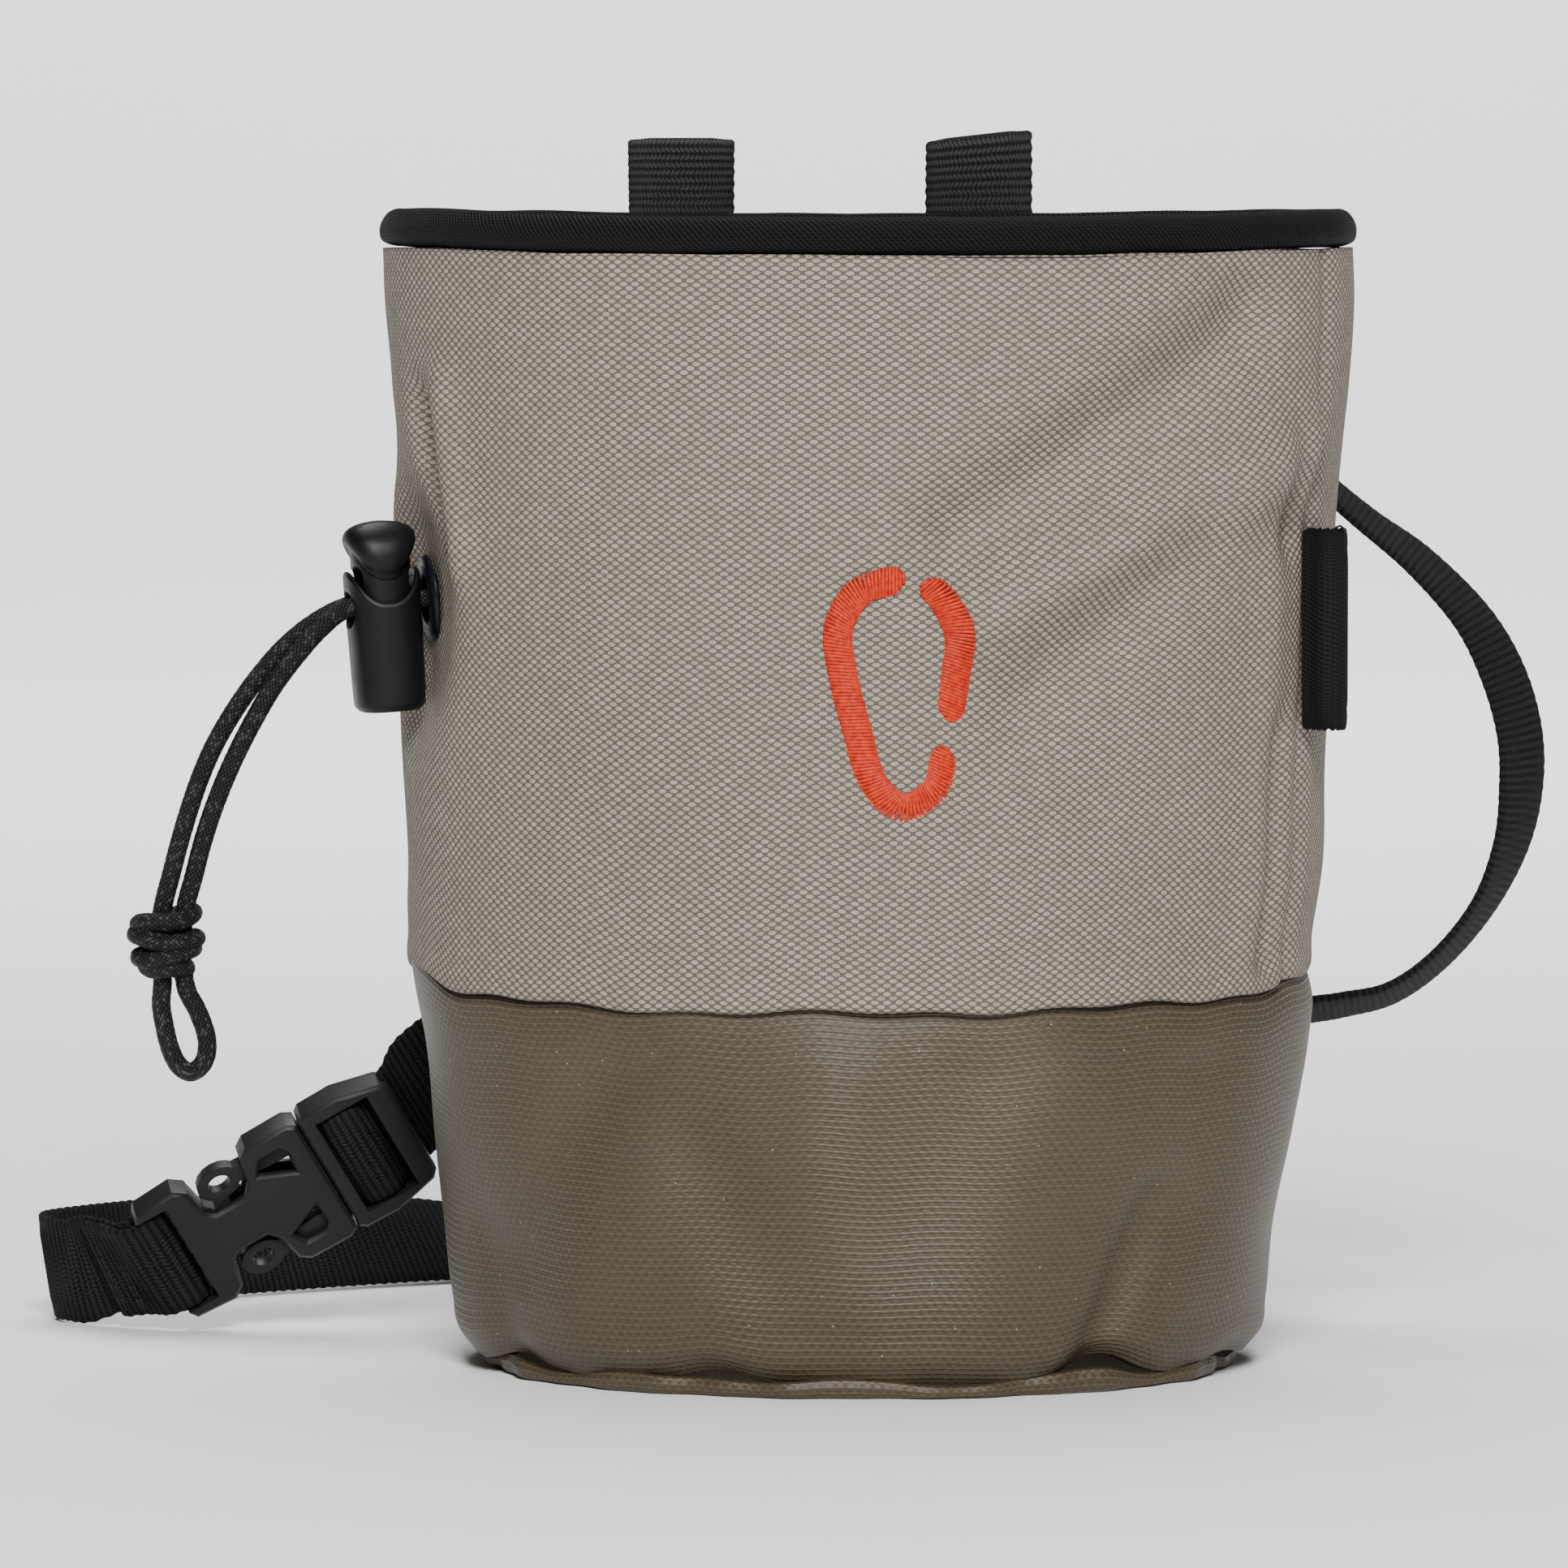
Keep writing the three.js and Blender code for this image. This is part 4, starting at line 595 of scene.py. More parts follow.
def black_weave(name, pitch_u, pitch_v, slant, depth, tone=0.006, roughness=0.72, gloss=0.08):
    """Black yarn in slanted ribs, with painted shade in their hollows and a painted highlight on their crests: pitches
    along and across the tape, in metres.
    """
    material, tree, shader = new_material(name, (tone, tone, tone * 1.08, 1), roughness, Specular_IOR_Level=gloss)
    made = Recipe(tree)
    u, v = made.chart()
    along = made.sum("ADD", made.sum("DIVIDE", u, pitch_u), made.sum("MULTIPLY", v, slant))
    rib = made.sum("ABSOLUTE", made.sum("SINE", made.sum("MULTIPLY", along, math.pi)))
    strand = made.sum("ABSOLUTE", made.sum("SINE", made.sum("MULTIPLY", made.sum("DIVIDE", v, pitch_v), math.pi)))
    relief = made.sum("ADD", rib, made.sum("MULTIPLY", strand, 0.5))
    fuzz = made.speckle(2600.0, 2.0)
    relief = made.sum("ADD", relief, made.sum("MULTIPLY", fuzz, 0.5))
    # Colour follows the relief: painted shade in the hollows, painted highlight on the crests.
    tint = made.ramp(relief, [(0.2, (tone * 0.35,) * 3), (0.9, (tone, tone, tone * 1.1)), (1.0, (tone * 2.2,) * 3)])
    tree.links.new(tint, shader.inputs["Base Color"])
    tree.links.new(made.bump(relief, depth, 1.0), shader.inputs["Normal"])
    return material


section = closed_curve([(row["out"], row["up"]) for row in BINDING_SECTION], 4)
binding_rings = []
for out, up in section:
    inset = BINDING_THICK * (1 - out) - BINDING_PROUD
    height = PANEL_TOP + SEAM_GAP + up * BINDING_TALL - rim_dip(turns)
    binding_rings.append(wall_point(UPPER_SECTIONS, np.ones((1, 1)), turns, height, inset)[0])
binding_rings = slack(np.array(binding_rings), 12 * MM, 0.22 * MM, 1.3)
binding_girth = TWILL_PITCH * round(math.pi * (HALF_WIDTH + HALF_DEPTH) / TWILL_PITCH)
binding = turned_grid("rim_binding_tape", binding_rings, lengths_along(binding_rings), binding_girth)
twill = black_weave("black_twill_tape", TWILL_PITCH, 0.45 * MM, 1200.0, 0.30 * MM, 0.0042, 0.68, 0.09)
settle(binding, twill, ["rim_binding"])

# Inner cuff: a sleeve of brushed black knit inside the mouth, with the hem that the drawcord runs in.
CUFF_WALL = 1.2 * MM
CUFF_HEM = 3.6 * MM
CUFF_HEM_TALL = 8 * MM
EYELET_FLANGE = 1.0 * MM
cuff_clear = UPPER_WALL + 3 * SEAM_GAP
cuff_behind = UPPER_WALL + EYELET_FLANGE + 6 * SEAM_GAP
hem_top = (EYELET_HEIGHT + CUFF_HEM_TALL / 2 - HEM_HEIGHT) / UPPER_TALL
hem_bottom = (EYELET_HEIGHT - CUFF_HEM_TALL / 2 - HEM_HEIGHT) / UPPER_TALL
CUFF_ROWS = [
    (0.99, cuff_clear), (0.90, cuff_clear), (0.82, cuff_clear), (0.74, (cuff_clear + cuff_behind) / 2),
    (0.68, cuff_behind), (hem_top, cuff_behind), (hem_bottom, cuff_behind),
    (hem_bottom - 0.02, cuff_behind + CUFF_WALL), (hem_bottom, cuff_behind + CUFF_HEM * 0.8),
    ((hem_top + hem_bottom) / 2, cuff_behind + CUFF_HEM), (hem_top, cuff_behind + CUFF_HEM * 0.55),
    (hem_top + 0.015, cuff_behind + CUFF_WALL), (0.68, cuff_behind + CUFF_WALL),
    (0.74, (cuff_clear + cuff_behind) / 2 + CUFF_WALL), (0.82, cuff_clear + CUFF_WALL),
    (0.90, cuff_clear + CUFF_WALL), (0.99, cuff_clear + CUFF_WALL),
]
cuff_rings = np.concatenate([upper_point(turns[:, ::2], np.full((1, 1), rise), inset) for rise, inset in CUFF_ROWS])
cuff_rings = slack(cuff_rings, 14 * MM, 0.35 * MM, 5.5)
cuff = turned_grid("inner_cuff_knit", cuff_rings, lengths_along(cuff_rings), upper_girth)
knit = black_weave("black_brushed_knit", 1.0 * MM, 1.0 * MM, 0.0, 0.1 * MM, 0.018, 0.95, 0.12)
settle(cuff, knit, ["inner_cuff"])

# Belt loops: ribbed webbing folded over beside the rim, whose two ends are sewn to the bag's back.
STRAP_WIDTH = 15 * MM
LOOP_THICK = 1.4 * MM
LOOP_RISE = 9.5 * MM
LOOP_BULGE = 8.2 * MM
LOOP_FOOT = 46 * MM
LOOP_CROTCH = 30 * MM
RIB_WEBBING = 1.08 * MM
LOOP_TOP = RIM_HEIGHT + LOOP_RISE
SEWN_OFF = 4.3 * SEAM_GAP + LOOP_THICK / 2
OUTER_SEWN_OFF = SEWN_OFF + LOOP_THICK + SEAM_GAP
OVER_BINDING = BINDING_PROUD + SEWN_OFF
# Heights, the distance off the wall, and how closely the webbing follows the wall's curve
LOOP_ROWS = [
    (LOOP_TOP - LOOP_FOOT - LOOP_RISE, SEWN_OFF, 1), (RIM_HEIGHT - LOOP_CROTCH, SEWN_OFF, 1),
    (PANEL_TOP - 3 * SEAM_GAP, SEWN_OFF, 1), (PANEL_TOP + BINDING_TALL / 2, OVER_BINDING, 1),
    (RIM_HEIGHT + LOOP_RISE * 0.45, OVER_BINDING + SEAM_GAP, 0.6),
    (LOOP_TOP - 1.1 * MM, OVER_BINDING + LOOP_BULGE * 0.16, 0.4),
    (LOOP_TOP - LOOP_THICK / 2, OVER_BINDING + LOOP_BULGE * 0.38, 0.4),
    (LOOP_TOP - 1.4 * MM, OVER_BINDING + LOOP_BULGE * 0.62, 0.4),
    (RIM_HEIGHT + LOOP_RISE * 0.35, OVER_BINDING + LOOP_BULGE * 0.8, 0.5),
    (RIM_HEIGHT - LOOP_CROTCH * 0.3, OUTER_SEWN_OFF + LOOP_BULGE * 0.82, 0.7),
    (RIM_HEIGHT - LOOP_CROTCH * 0.65, OUTER_SEWN_OFF + LOOP_BULGE * 0.72, 0.8),
    (RIM_HEIGHT - LOOP_CROTCH, OUTER_SEWN_OFF + LOOP_BULGE * 0.3, 1),
    (RIM_HEIGHT - LOOP_CROTCH * 1.17, OUTER_SEWN_OFF, 1), (RIM_HEIGHT - LOOP_FOOT * 0.97, OUTER_SEWN_OFF, 1),
]
BELT_LOOPS = [
    {"name": "belt_loop_left", "across": -0.394, "skew": 0.0, "lift": 0.0},
    {"name": "belt_loop_right", "across": 0.241, "skew": 0.12, "lift": 0.6 * MM},
]


def back_wall(across, height):
    """The wall's outer face at the back, and how much its slant stretches a layer's thickness."""
    rise = (height - HEM_HEIGHT) / UPPER_TALL
    side = "left" if across < 0 else "right"
    half_width = HALF_WIDTH * float(smooth_lookup(UPPER_SECTIONS, side, rise))
    half_depth = HALF_DEPTH * float(smooth_lookup(UPPER_SECTIONS, "deep", rise))
    back = half_depth * math.sqrt(1 - (across / half_width) ** 2)
    slope = (across / half_width**2) / (back / half_depth**2)
    return back, math.hypot(1, slope)


def smooth_line(points, steps):
    """A smooth open line through points, with a number of steps from each one to the next."""
    points = np.asarray(points, dtype=float)
    padded = np.concatenate([[2 * points[0] - points[1]], points, [2 * points[-1] - points[-2]]])
    t = np.linspace(0, 1, steps, endpoint=False)[:, None]
    line = [
        0.5 * (2 * b + (c - a) * t + (2 * a - 5 * b + 4 * c - d) * t * t + (3 * b - a - 3 * c + d) * t**3)
        for a, b, c, d in zip(padded, padded[1:], padded[2:], padded[3:])
    ]
    return np.concatenate([*line, points[-1:]])


def spaced(line, gap, *others):
    """The line and others beside it, sampled again at an even gap along the first one."""
    length = np.concatenate([[0], np.cumsum(np.linalg.norm(np.diff(line, axis=0), axis=1))])
    count = max(2, round(length[-1] / gap) + 1)
    wanted = np.linspace(0, length[-1], count)
    return [np.stack([np.interp(wanted, length, part[:, k]) for k in range(3)], -1) for part in (line, *others)]


def unit(vectors):
    return vectors / np.linalg.norm(vectors, axis=-1, keepdims=True)


def webbing(name, places, width, thick, rib, slant, relief, sides=11):
    """A woven strap through places, each a middle and the direction of the width, with raised ribs
    across it, a groove beside each edge and small bumps along the edges."""
    at = np.array([place[0] for place in places])
    wide = unit(np.array([place[1] for place in places], dtype=float))
    low, high = (smooth_line(at + side * wide * width / 2, 12) for side in (-1, 1))
    middle, low, high = spaced((low + high) / 2, rib / 4, low, high)
    wide = unit(high - low)
    run = unit(np.gradient(middle, axis=0))
    up = unit(np.cross(run, wide))
    along = np.arange(len(middle))[:, None] * rib / 4
    share = np.cos(np.linspace(math.pi, 0, sides))[None, :]
    edge = np.clip(1 - np.abs(share) ** 12, 0, 1) ** 0.5
    groove = 0.16 * np.exp(-(((np.abs(share) - 0.78) / 0.05) ** 2))
    body = thick / 2 * (0.35 + 0.65 * edge - groove)
    wave = np.sin(math.tau * (along / rib + slant * share)) * np.where(np.abs(share) < 0.8, 1, 0.2)
    top = body + relief * wave * 0.5
    bottom = body - relief * wave * 0.5
    bumps = 1 + 0.012 * np.sin(math.tau * along / (rib * 1.6))
    out = share * width / 2 * bumps
    faces = [middle[:, None] + wide[:, None] * out[..., None] + up[:, None] * height[..., None]
             for height in (top, -bottom)]
    rings = np.concatenate([faces[0], faces[1][:, ::-1]], axis=1)
    return turned_grid(name, rings, lengths_along(rings), 2 * (width + thick), closed=False)


def webbing_finish(name, rib, tone=0.007):
    """Black webbing yarn: fine strands along the strap, over its ribs, with painted shade in the hollows and a painted
    highlight on the crests.
    """
    material, tree, shader = new_material(name, (tone, tone, tone * 1.08, 1), 0.75, Specular_IOR_Level=0.07)
    made = Recipe(tree)
    u, v = made.chart()
    zigzag = made.sum("DIVIDE", made.sum("PINGPONG", v, rib), 1.3 * MM)
    lay = made.sum("ADD", made.sum("DIVIDE", u, 0.44 * MM), zigzag)
    strand = made.sum("ABSOLUTE", made.sum("SINE", made.sum("MULTIPLY", lay, math.pi)))
    row = made.sum("ABSOLUTE", made.sum("SINE", made.sum("MULTIPLY", made.sum("DIVIDE", v, rib), math.pi)))
    fuzz = made.speckle(3200.0, 2.0)
    relief = made.sum("ADD", made.sum("MULTIPLY", strand, 0.4), made.sum("MULTIPLY", row, 0.5))
    relief = made.sum("ADD", relief, made.sum("MULTIPLY", fuzz, 0.6))
    # Colour follows the relief: painted shade in the hollows, painted highlight on the crests.
    tint = made.ramp(relief, [(0.3, (tone * 0.4,) * 3), (0.9, (tone, tone, tone * 1.1)), (1.0, (tone * 2.6,) * 3)])
    tree.links.new(tint, shader.inputs["Base Color"])
    tree.links.new(made.bump(relief, 0.09 * MM, 1.0), shader.inputs["Normal"])
    return material


loop_finish = webbing_finish("black_loop_webbing", RIB_WEBBING, 0.013)
for row in BELT_LOOPS:
    across = row["across"] * HALF_WIDTH
    places = []
    for height, off, follow in LOOP_ROWS:
        level = min(height, PANEL_TOP)
        raised = max(0, height - RIM_HEIGHT) / LOOP_RISE
        corners = []
        for side in (-1, 1):
            x = across + side * STRAP_WIDTH / 2
            back, stretch = back_wall(x, level)
            y = back_wall(across, level)[0] * (1 - follow) + back * follow + off * stretch
            corners.append(np.array([x, y, height + raised * (row["lift"] + row["skew"] * side * STRAP_WIDTH / 2)]))
        places.append(((corners[0] + corners[1]) / 2, corners[1] - corners[0]))
    loop = webbing(row["name"] + "_webbing", places, STRAP_WIDTH, LOOP_THICK, RIB_WEBBING, 0.0, 0.22 * MM)
    settle(loop, loop_finish, [row["name"]])

# Brush loop: a wide knitted elastic, folded and caught in the right side seam with both its ends.
BRUSH_TALL = 27 * MM
BRUSH_REACH = 5.2 * MM
BRUSH_THICK = 1.2 * MM
BRUSH_BULGE = 1.7 * MM
BRUSH_HEIGHT = 101.4 * MM
BRUSH_SHAPE = [(0.05, 0.62), (0.35, 0.80), (0.68, 1.25), (0.88, 1.12), (1.00, 0.45)]
brush_rise = np.full((1, 1), (BRUSH_HEIGHT - HEM_HEIGHT) / UPPER_TALL)
seam_at, seam_beside = (upper_point(np.full((1, 1), SEAM_TURN + d), brush_rise, -2 * SEAM_GAP)[0, 0] for d in (0, 1))
seam_angle = math.atan2(seam_beside[1] - seam_at[1], seam_beside[0] - seam_at[0]) - math.pi / 2
out_of_seam = np.array([math.cos(seam_angle), math.sin(seam_angle), 0])
beside_seam = np.array([-math.sin(seam_angle), math.cos(seam_angle), 0])
brush_half = [(out * BRUSH_REACH, side * BRUSH_BULGE) for out, side in BRUSH_SHAPE]
brush_line = brush_half + [(out, -side) for out, side in brush_half[::-1]]
brush_places = [
    (np.array([seam_at[0], seam_at[1], BRUSH_HEIGHT]) + out_of_seam * out + beside_seam * side, (0, 0, 1))
    for out, side in brush_line
]
ELASTIC_RIB = 1.3 * MM
brush_loop = webbing("brush_loop_elastic", brush_places, BRUSH_TALL, BRUSH_THICK, ELASTIC_RIB / 2, 0.0, 0.05 * MM, 25)
elastic = black_weave("black_knitted_elastic", 0.42 * MM, 0.62 * MM, 500.0, 0.10 * MM, 0.004, 0.75, 0.10)
settle(brush_loop, elastic, ["brush_loop"])

# Eyelet: a dark enamelled metal ring pressed through the wall, two flanges round a short tube.
EYELET_BORE = 3.3 * MM
EYELET_TUBE = 0.6 * MM
EYELET_AIM_TURN = 13
EYELET_AIM_DROP = 6
eyelet_rise = np.full((1, 1), (EYELET_HEIGHT - HEM_HEIGHT) / UPPER_TALL)
eyelet_at = Vector(wall_point(UPPER_SECTIONS, eyelet_rise, np.full((1, 1), EYELET_TURN), EYELET_HEIGHT, EYELET_DENT)[0, 0])
turn, drop = math.radians(EYELET_AIM_TURN), math.radians(EYELET_AIM_DROP)
eyelet_axis = Vector((-math.cos(turn) * math.cos(drop), -math.sin(turn) * math.cos(drop), -math.sin(drop)))


def turned(name, profile, sides, place):
    """A solid of revolution round +Z from a closed profile of radius and height, put in place."""
    angles = np.arange(sides) * math.tau / sides
    rings = np.array([[(r * math.cos(a), r * math.sin(a), h) for a in angles] for r, h in profile])
    piece = turned_grid(name, rings, lengths_along(rings), math.tau * EYELET_RIM)
    piece.data.transform(place)
    return piece


inside = -UPPER_WALL - SEAM_GAP
tube_out = EYELET_BORE + EYELET_TUBE
eyelet_profile = closed_curve([
    (EYELET_BORE, inside - EYELET_FLANGE), (EYELET_RIM * 0.82, inside - EYELET_FLANGE), (EYELET_RIM * 0.82, inside),
    (tube_out, inside), (tube_out, SEAM_GAP), (EYELET_RIM * 0.97, SEAM_GAP), (EYELET_RIM, SEAM_GAP + EYELET_FLANGE * 0.4),
    (EYELET_RIM * 0.9, SEAM_GAP + EYELET_FLANGE * 0.9), (EYELET_RIM * 0.75, SEAM_GAP + EYELET_FLANGE),
    (EYELET_BORE * 1.3, SEAM_GAP + EYELET_FLANGE), (EYELET_BORE, SEAM_GAP + EYELET_FLANGE * 0.5),
], 4)
eyelet_place = Matrix.Translation(eyelet_at) @ eyelet_axis.to_track_quat("Z", "Y").to_matrix().to_4x4()
eyelet = turned("eyelet_ring", eyelet_profile, 72, eyelet_place)


def worn_finish(name, colour, roughness, metallic, grain, depth):
    """Hard smooth material with a fine moulded or worn grain in its gloss."""
    material, tree, shader = new_material(name, (*colour, 1), roughness, Metallic=metallic, Specular_IOR_Level=0.2)
    made = Recipe(tree)
    fine = made.speckle(grain, 3.0)
    broad = made.speckle(160.0, 3.0)
    rough = made.ramp(broad, [(0.3, (roughness * 0.85,) * 3), (0.7, (min(1, roughness * 1.2),) * 3)])
    tree.links.new(rough, shader.inputs["Roughness"])
    tint = made.ramp(made.sum("ADD", fine, broad), [(0.6, tuple(c * 0.75 for c in colour)), (1.0, colour)])
    tree.links.new(tint, shader.inputs["Base Color"])
    tree.links.new(made.bump(fine, depth, 0.6), shader.inputs["Normal"])
    return material


dark_enamel = worn_finish("dark_enamelled_metal", (0.0045, 0.005, 0.008), 0.36, 0.0, 900.0, 0.01 * MM)
settle(eyelet, dark_enamel, ["eyelet"])

# Cord lock: a moulded barrel whose lip dips at the front and back, and a sprung button with a broad
# thumb pad in its well. The cord crosses both through a slot.
BARREL_WIDTH = 10.2 * MM
BARREL_DEPTH = 11.6 * MM
BARREL_TALL = 19.3 * MM
BARREL_WALL = 0.8 * MM
BARREL_FLOOR = 1.2 * MM
LIP_DIP = 4.4 * MM
SLOT_TALL = 5.0 * MM
SLOT_WIDE = 6.6 * MM
SLOT_DROP = 4.6 * MM
BUTTON_CLEAR = 0.35 * MM
BUTTON_HEAD = 3.3 * MM
# The thumb pad's rings: a share of the barrel's width, of the pad's height, and of the lip's dip
BUTTON_ROWS = [
    (0.84, -0.03, 0.84), (0.91, 0.09, 0.78), (0.95, 0.27, 0.66), (0.93, 0.47, 0.50), (0.85, 0.66, 0.34),
    (0.69, 0.82, 0.19), (0.45, 0.94, 0.07), (0.20, 0.99, 0.0), (0.04, 1.00, 0.0),
]
BUTTON_TRAVEL = 3.0 * MM
CORD_DIAMETER = 2.6 * MM
LOCK_TILT = 3.9
LOCK_SIDES = 96
cord_height = BARREL_TALL - SLOT_DROP
lock_off = SEAM_GAP + EYELET_FLANGE + 2 * SEAM_GAP + BARREL_WIDTH / 2
lock_place = (
    Matrix.Translation(eyelet_at + eyelet_axis * lock_off)
    @ Matrix.Rotation(turn, 4, "Z") @ Matrix.Rotation(math.radians(-LOCK_TILT), 4, "Y")
    @ Matrix.Translation((0, 0, -cord_height))
)


def oval(width, depth, height, dip=0.0):
    """An oval ring with squared sides, whose front and back dip."""
    angle = np.arange(LOCK_SIDES) * math.tau / LOCK_SIDES
    c, s = np.cos(angle), np.sin(angle)
    return np.stack([width / 2 * np.sign(c) * np.abs(c) ** 0.8, depth / 2 * np.sign(s) * np.abs(s) ** 0.8,
                     height - dip * s * s], -1)


def moulded(name, corners, steps=5):
    """A smooth moulding through oval rings, given as width, depth, height and dip."""
    fine = smooth_line([np.array(corner) for corner in corners], steps)
    rings = np.array([oval(*row) for row in fine])
    return turned_grid(name, rings, lengths_along(rings), math.tau * BARREL_WIDTH / 2, closed=False)


def cord_slot(tall, bottom, radius):
    """A bar with rounded corners, which cuts the cord's way through the lock."""
    half = SLOT_WIDE / 2
    corners = []
    for centre_x, centre_z, start in ((half - radius, bottom + radius, -90), (half - radius, bottom + tall - radius, 0),
                                      (radius - half, bottom + tall - radius, 90), (radius - half, bottom + radius, 180)):
        for step in range(9):
            angle = math.radians(start + step * 90 / 8)
            corners.append((centre_x + radius * math.cos(angle), centre_z + radius * math.sin(angle)))
    rings = np.array([[(x, y, z) for y, z in corners] for x in (-BARREL_WIDTH, BARREL_WIDTH)])
    return turned_grid("slot_cutter", rings, lengths_along(rings), 1.0, closed=False)


def carve(piece, cutter):
    """Cuts one mesh out of another and removes the cutter."""
    cut = piece.modifiers.new("cut", "BOOLEAN")
    cut.object = cutter
    cut.solver = "EXACT"
    baked = bpy.data.meshes.new_from_object(piece.evaluated_get(bpy.context.evaluated_depsgraph_get()))
    piece.modifiers.clear()
    piece.data = baked
    bpy.data.objects.remove(cutter)
    return piece


def round_edges(piece, width, segments=2, angle=32):
    """Rounds a hard piece's sharp edges."""
    bevel = piece.modifiers.new("round", "BEVEL")
    bevel.width = width
    bevel.segments = segments
    bevel.angle_limit = math.radians(angle)
    bevel.harden_normals = False
    baked = bpy.data.meshes.new_from_object(piece.evaluated_get(bpy.context.evaluated_depsgraph_get()))
    piece.modifiers.clear()
    piece.data = baked
    return piece


def wall_corners(width, depth, scale, height, dip=0.0):
    return (width * scale, depth * scale, height, dip)


barrel = moulded("cord_lock_barrel_moulding", [
    wall_corners(BARREL_WIDTH, BARREL_DEPTH, 0.30, 0.0),
    wall_corners(BARREL_WIDTH, BARREL_DEPTH, 0.70, 0.02 * MM),
    wall_corners(BARREL_WIDTH, BARREL_DEPTH, 0.86, 0.5 * MM),
    wall_corners(BARREL_WIDTH, BARREL_DEPTH, 0.94, 1.8 * MM),
    wall_corners(BARREL_WIDTH, BARREL_DEPTH, 0.97, BARREL_TALL * 0.45),
    wall_corners(BARREL_WIDTH, BARREL_DEPTH, 0.995, BARREL_TALL * 0.68, LIP_DIP * 0.3),
    wall_corners(BARREL_WIDTH, BARREL_DEPTH, 1.0, BARREL_TALL - 1.3 * MM, LIP_DIP * 0.95),
    wall_corners(BARREL_WIDTH, BARREL_DEPTH, 1.0, BARREL_TALL - 0.5 * MM, LIP_DIP),
    (BARREL_WIDTH - 0.7 * BARREL_WALL, BARREL_DEPTH - 0.7 * BARREL_WALL, BARREL_TALL, LIP_DIP),
    (BARREL_WIDTH - 1.8 * BARREL_WALL, BARREL_DEPTH - 1.8 * BARREL_WALL, BARREL_TALL - 0.25 * MM, LIP_DIP),
    (BARREL_WIDTH - 2 * BARREL_WALL, BARREL_DEPTH - 2 * BARREL_WALL, BARREL_TALL - 1.2 * MM, LIP_DIP),
    (BARREL_WIDTH - 2 * BARREL_WALL, BARREL_DEPTH - 2 * BARREL_WALL, BARREL_TALL - 2.4 * MM, LIP_DIP * 0.9),
    (BARREL_WIDTH - 2 * BARREL_WALL, BARREL_DEPTH - 2 * BARREL_WALL, BARREL_FLOOR + 2 * MM, 0.0),
    (BARREL_WIDTH - 2 * BARREL_WALL, BARREL_DEPTH - 2 * BARREL_WALL, BARREL_FLOOR + 1 * MM, 0.0),
    (BARREL_WIDTH - 3 * BARREL_WALL, BARREL_DEPTH - 3 * BARREL_WALL, BARREL_FLOOR, 0.0),
    (BARREL_WIDTH * 0.3, BARREL_DEPTH * 0.3, BARREL_FLOOR, 0.0),
])
carve(barrel, cord_slot(SLOT_TALL, cord_height + CORD_DIAMETER / 2 + 2 * SEAM_GAP - SLOT_TALL, SLOT_TALL / 2 * 0.98))
barrel.data.transform(lock_place)
satin_black = worn_finish("satin_black_moulding", (0.0042, 0.0042, 0.0050), 0.42, 0.0, 1500.0, 0.02 * MM)
settle(barrel, satin_black, ["cord_lock_barrel"])

stem = (BARREL_WIDTH - 2 * BARREL_WALL - 2 * BUTTON_CLEAR, BARREL_DEPTH - 2 * BARREL_WALL - 2 * BUTTON_CLEAR)
under = BARREL_TALL + BUTTON_TRAVEL + SEAM_GAP
button_foot = BARREL_FLOOR + BUTTON_TRAVEL + 2 * SEAM_GAP
button = moulded("cord_lock_button_moulding", [
    (stem[0] * 0.3, stem[1] * 0.3, button_foot, 0.0), (stem[0] * 0.9, stem[1] * 0.9, button_foot, 0.0),
    (stem[0], stem[1], button_foot + 0.6 * MM, 0.0), (stem[0], stem[1], button_foot + 1.4 * MM, 0.0),
    (stem[0], stem[1], under - 3 * MM, LIP_DIP * 0.5), (stem[0], stem[1], under - 1.4 * MM, LIP_DIP * 0.75),
    (stem[0], stem[1], under - 0.6 * MM, LIP_DIP * 0.86),
    *[wall_corners(BARREL_WIDTH, BARREL_DEPTH, scale, under + up * BUTTON_HEAD, LIP_DIP * dip)
      for scale, up, dip in BUTTON_ROWS],
])
carve(button, cord_slot(CORD_DIAMETER + 4 * SEAM_GAP + BUTTON_TRAVEL,
                        cord_height - CORD_DIAMETER / 2 - 2 * SEAM_GAP, CORD_DIAMETER / 2))
button.data.transform(lock_place)
settle(button, satin_black, ["cord_lock_button"], body="lock_button")

# Drawcord: one black braided cord with grey flecks. It leaves the cuff's hem through the eyelet and
# the lock, is doubled in a knot, turns in a small loop and goes back the same way.
STRAND_BACK = [
    (-57.4, -7.5, 105.4), (-61.0, -8.35, 105.0), (-65.4, -9.65, 104.6), (-70.6, -11.0, 104.2), (-75.2, -12.0, 102.0),
    (-79.4, -13.0, 98.6), (-83.2, -13.9, 94.2), (-86.4, -14.5, 89.6), (-88.9, -15.0, 85.2), (-90.8, -15.3, 80.8),
    (-92.3, -15.4, 76.4), (-93.6, -15.4, 72.0), (-94.7, -15.4, 67.8), (-95.7, -15.4, 64.0),
]
KNOT_WAY_DOWN = [(-96.4, -15.3, 60.0), (-96.2, -15.2, 56.6)]
END_LOOP = [
    (-95.9, -15.2, 53.4), (-96.1, -15.2, 50.2), (-95.6, -15.2, 47.0), (-94.9, -15.2, 44.2), (-93.8, -15.2, 42.0),
    (-92.2, -15.2, 41.0), (-90.6, -15.2, 42.0), (-89.9, -15.2, 44.0), (-90.1, -15.2, 46.4), (-91.2, -15.2, 49.4),
    (-92.4, -15.2, 51.6), (-92.9, -15.2, 53.4),
]
KNOT_WAY_UP = [(-93.3, -15.3, 56.6), (-93.2, -15.5, 60.0)]
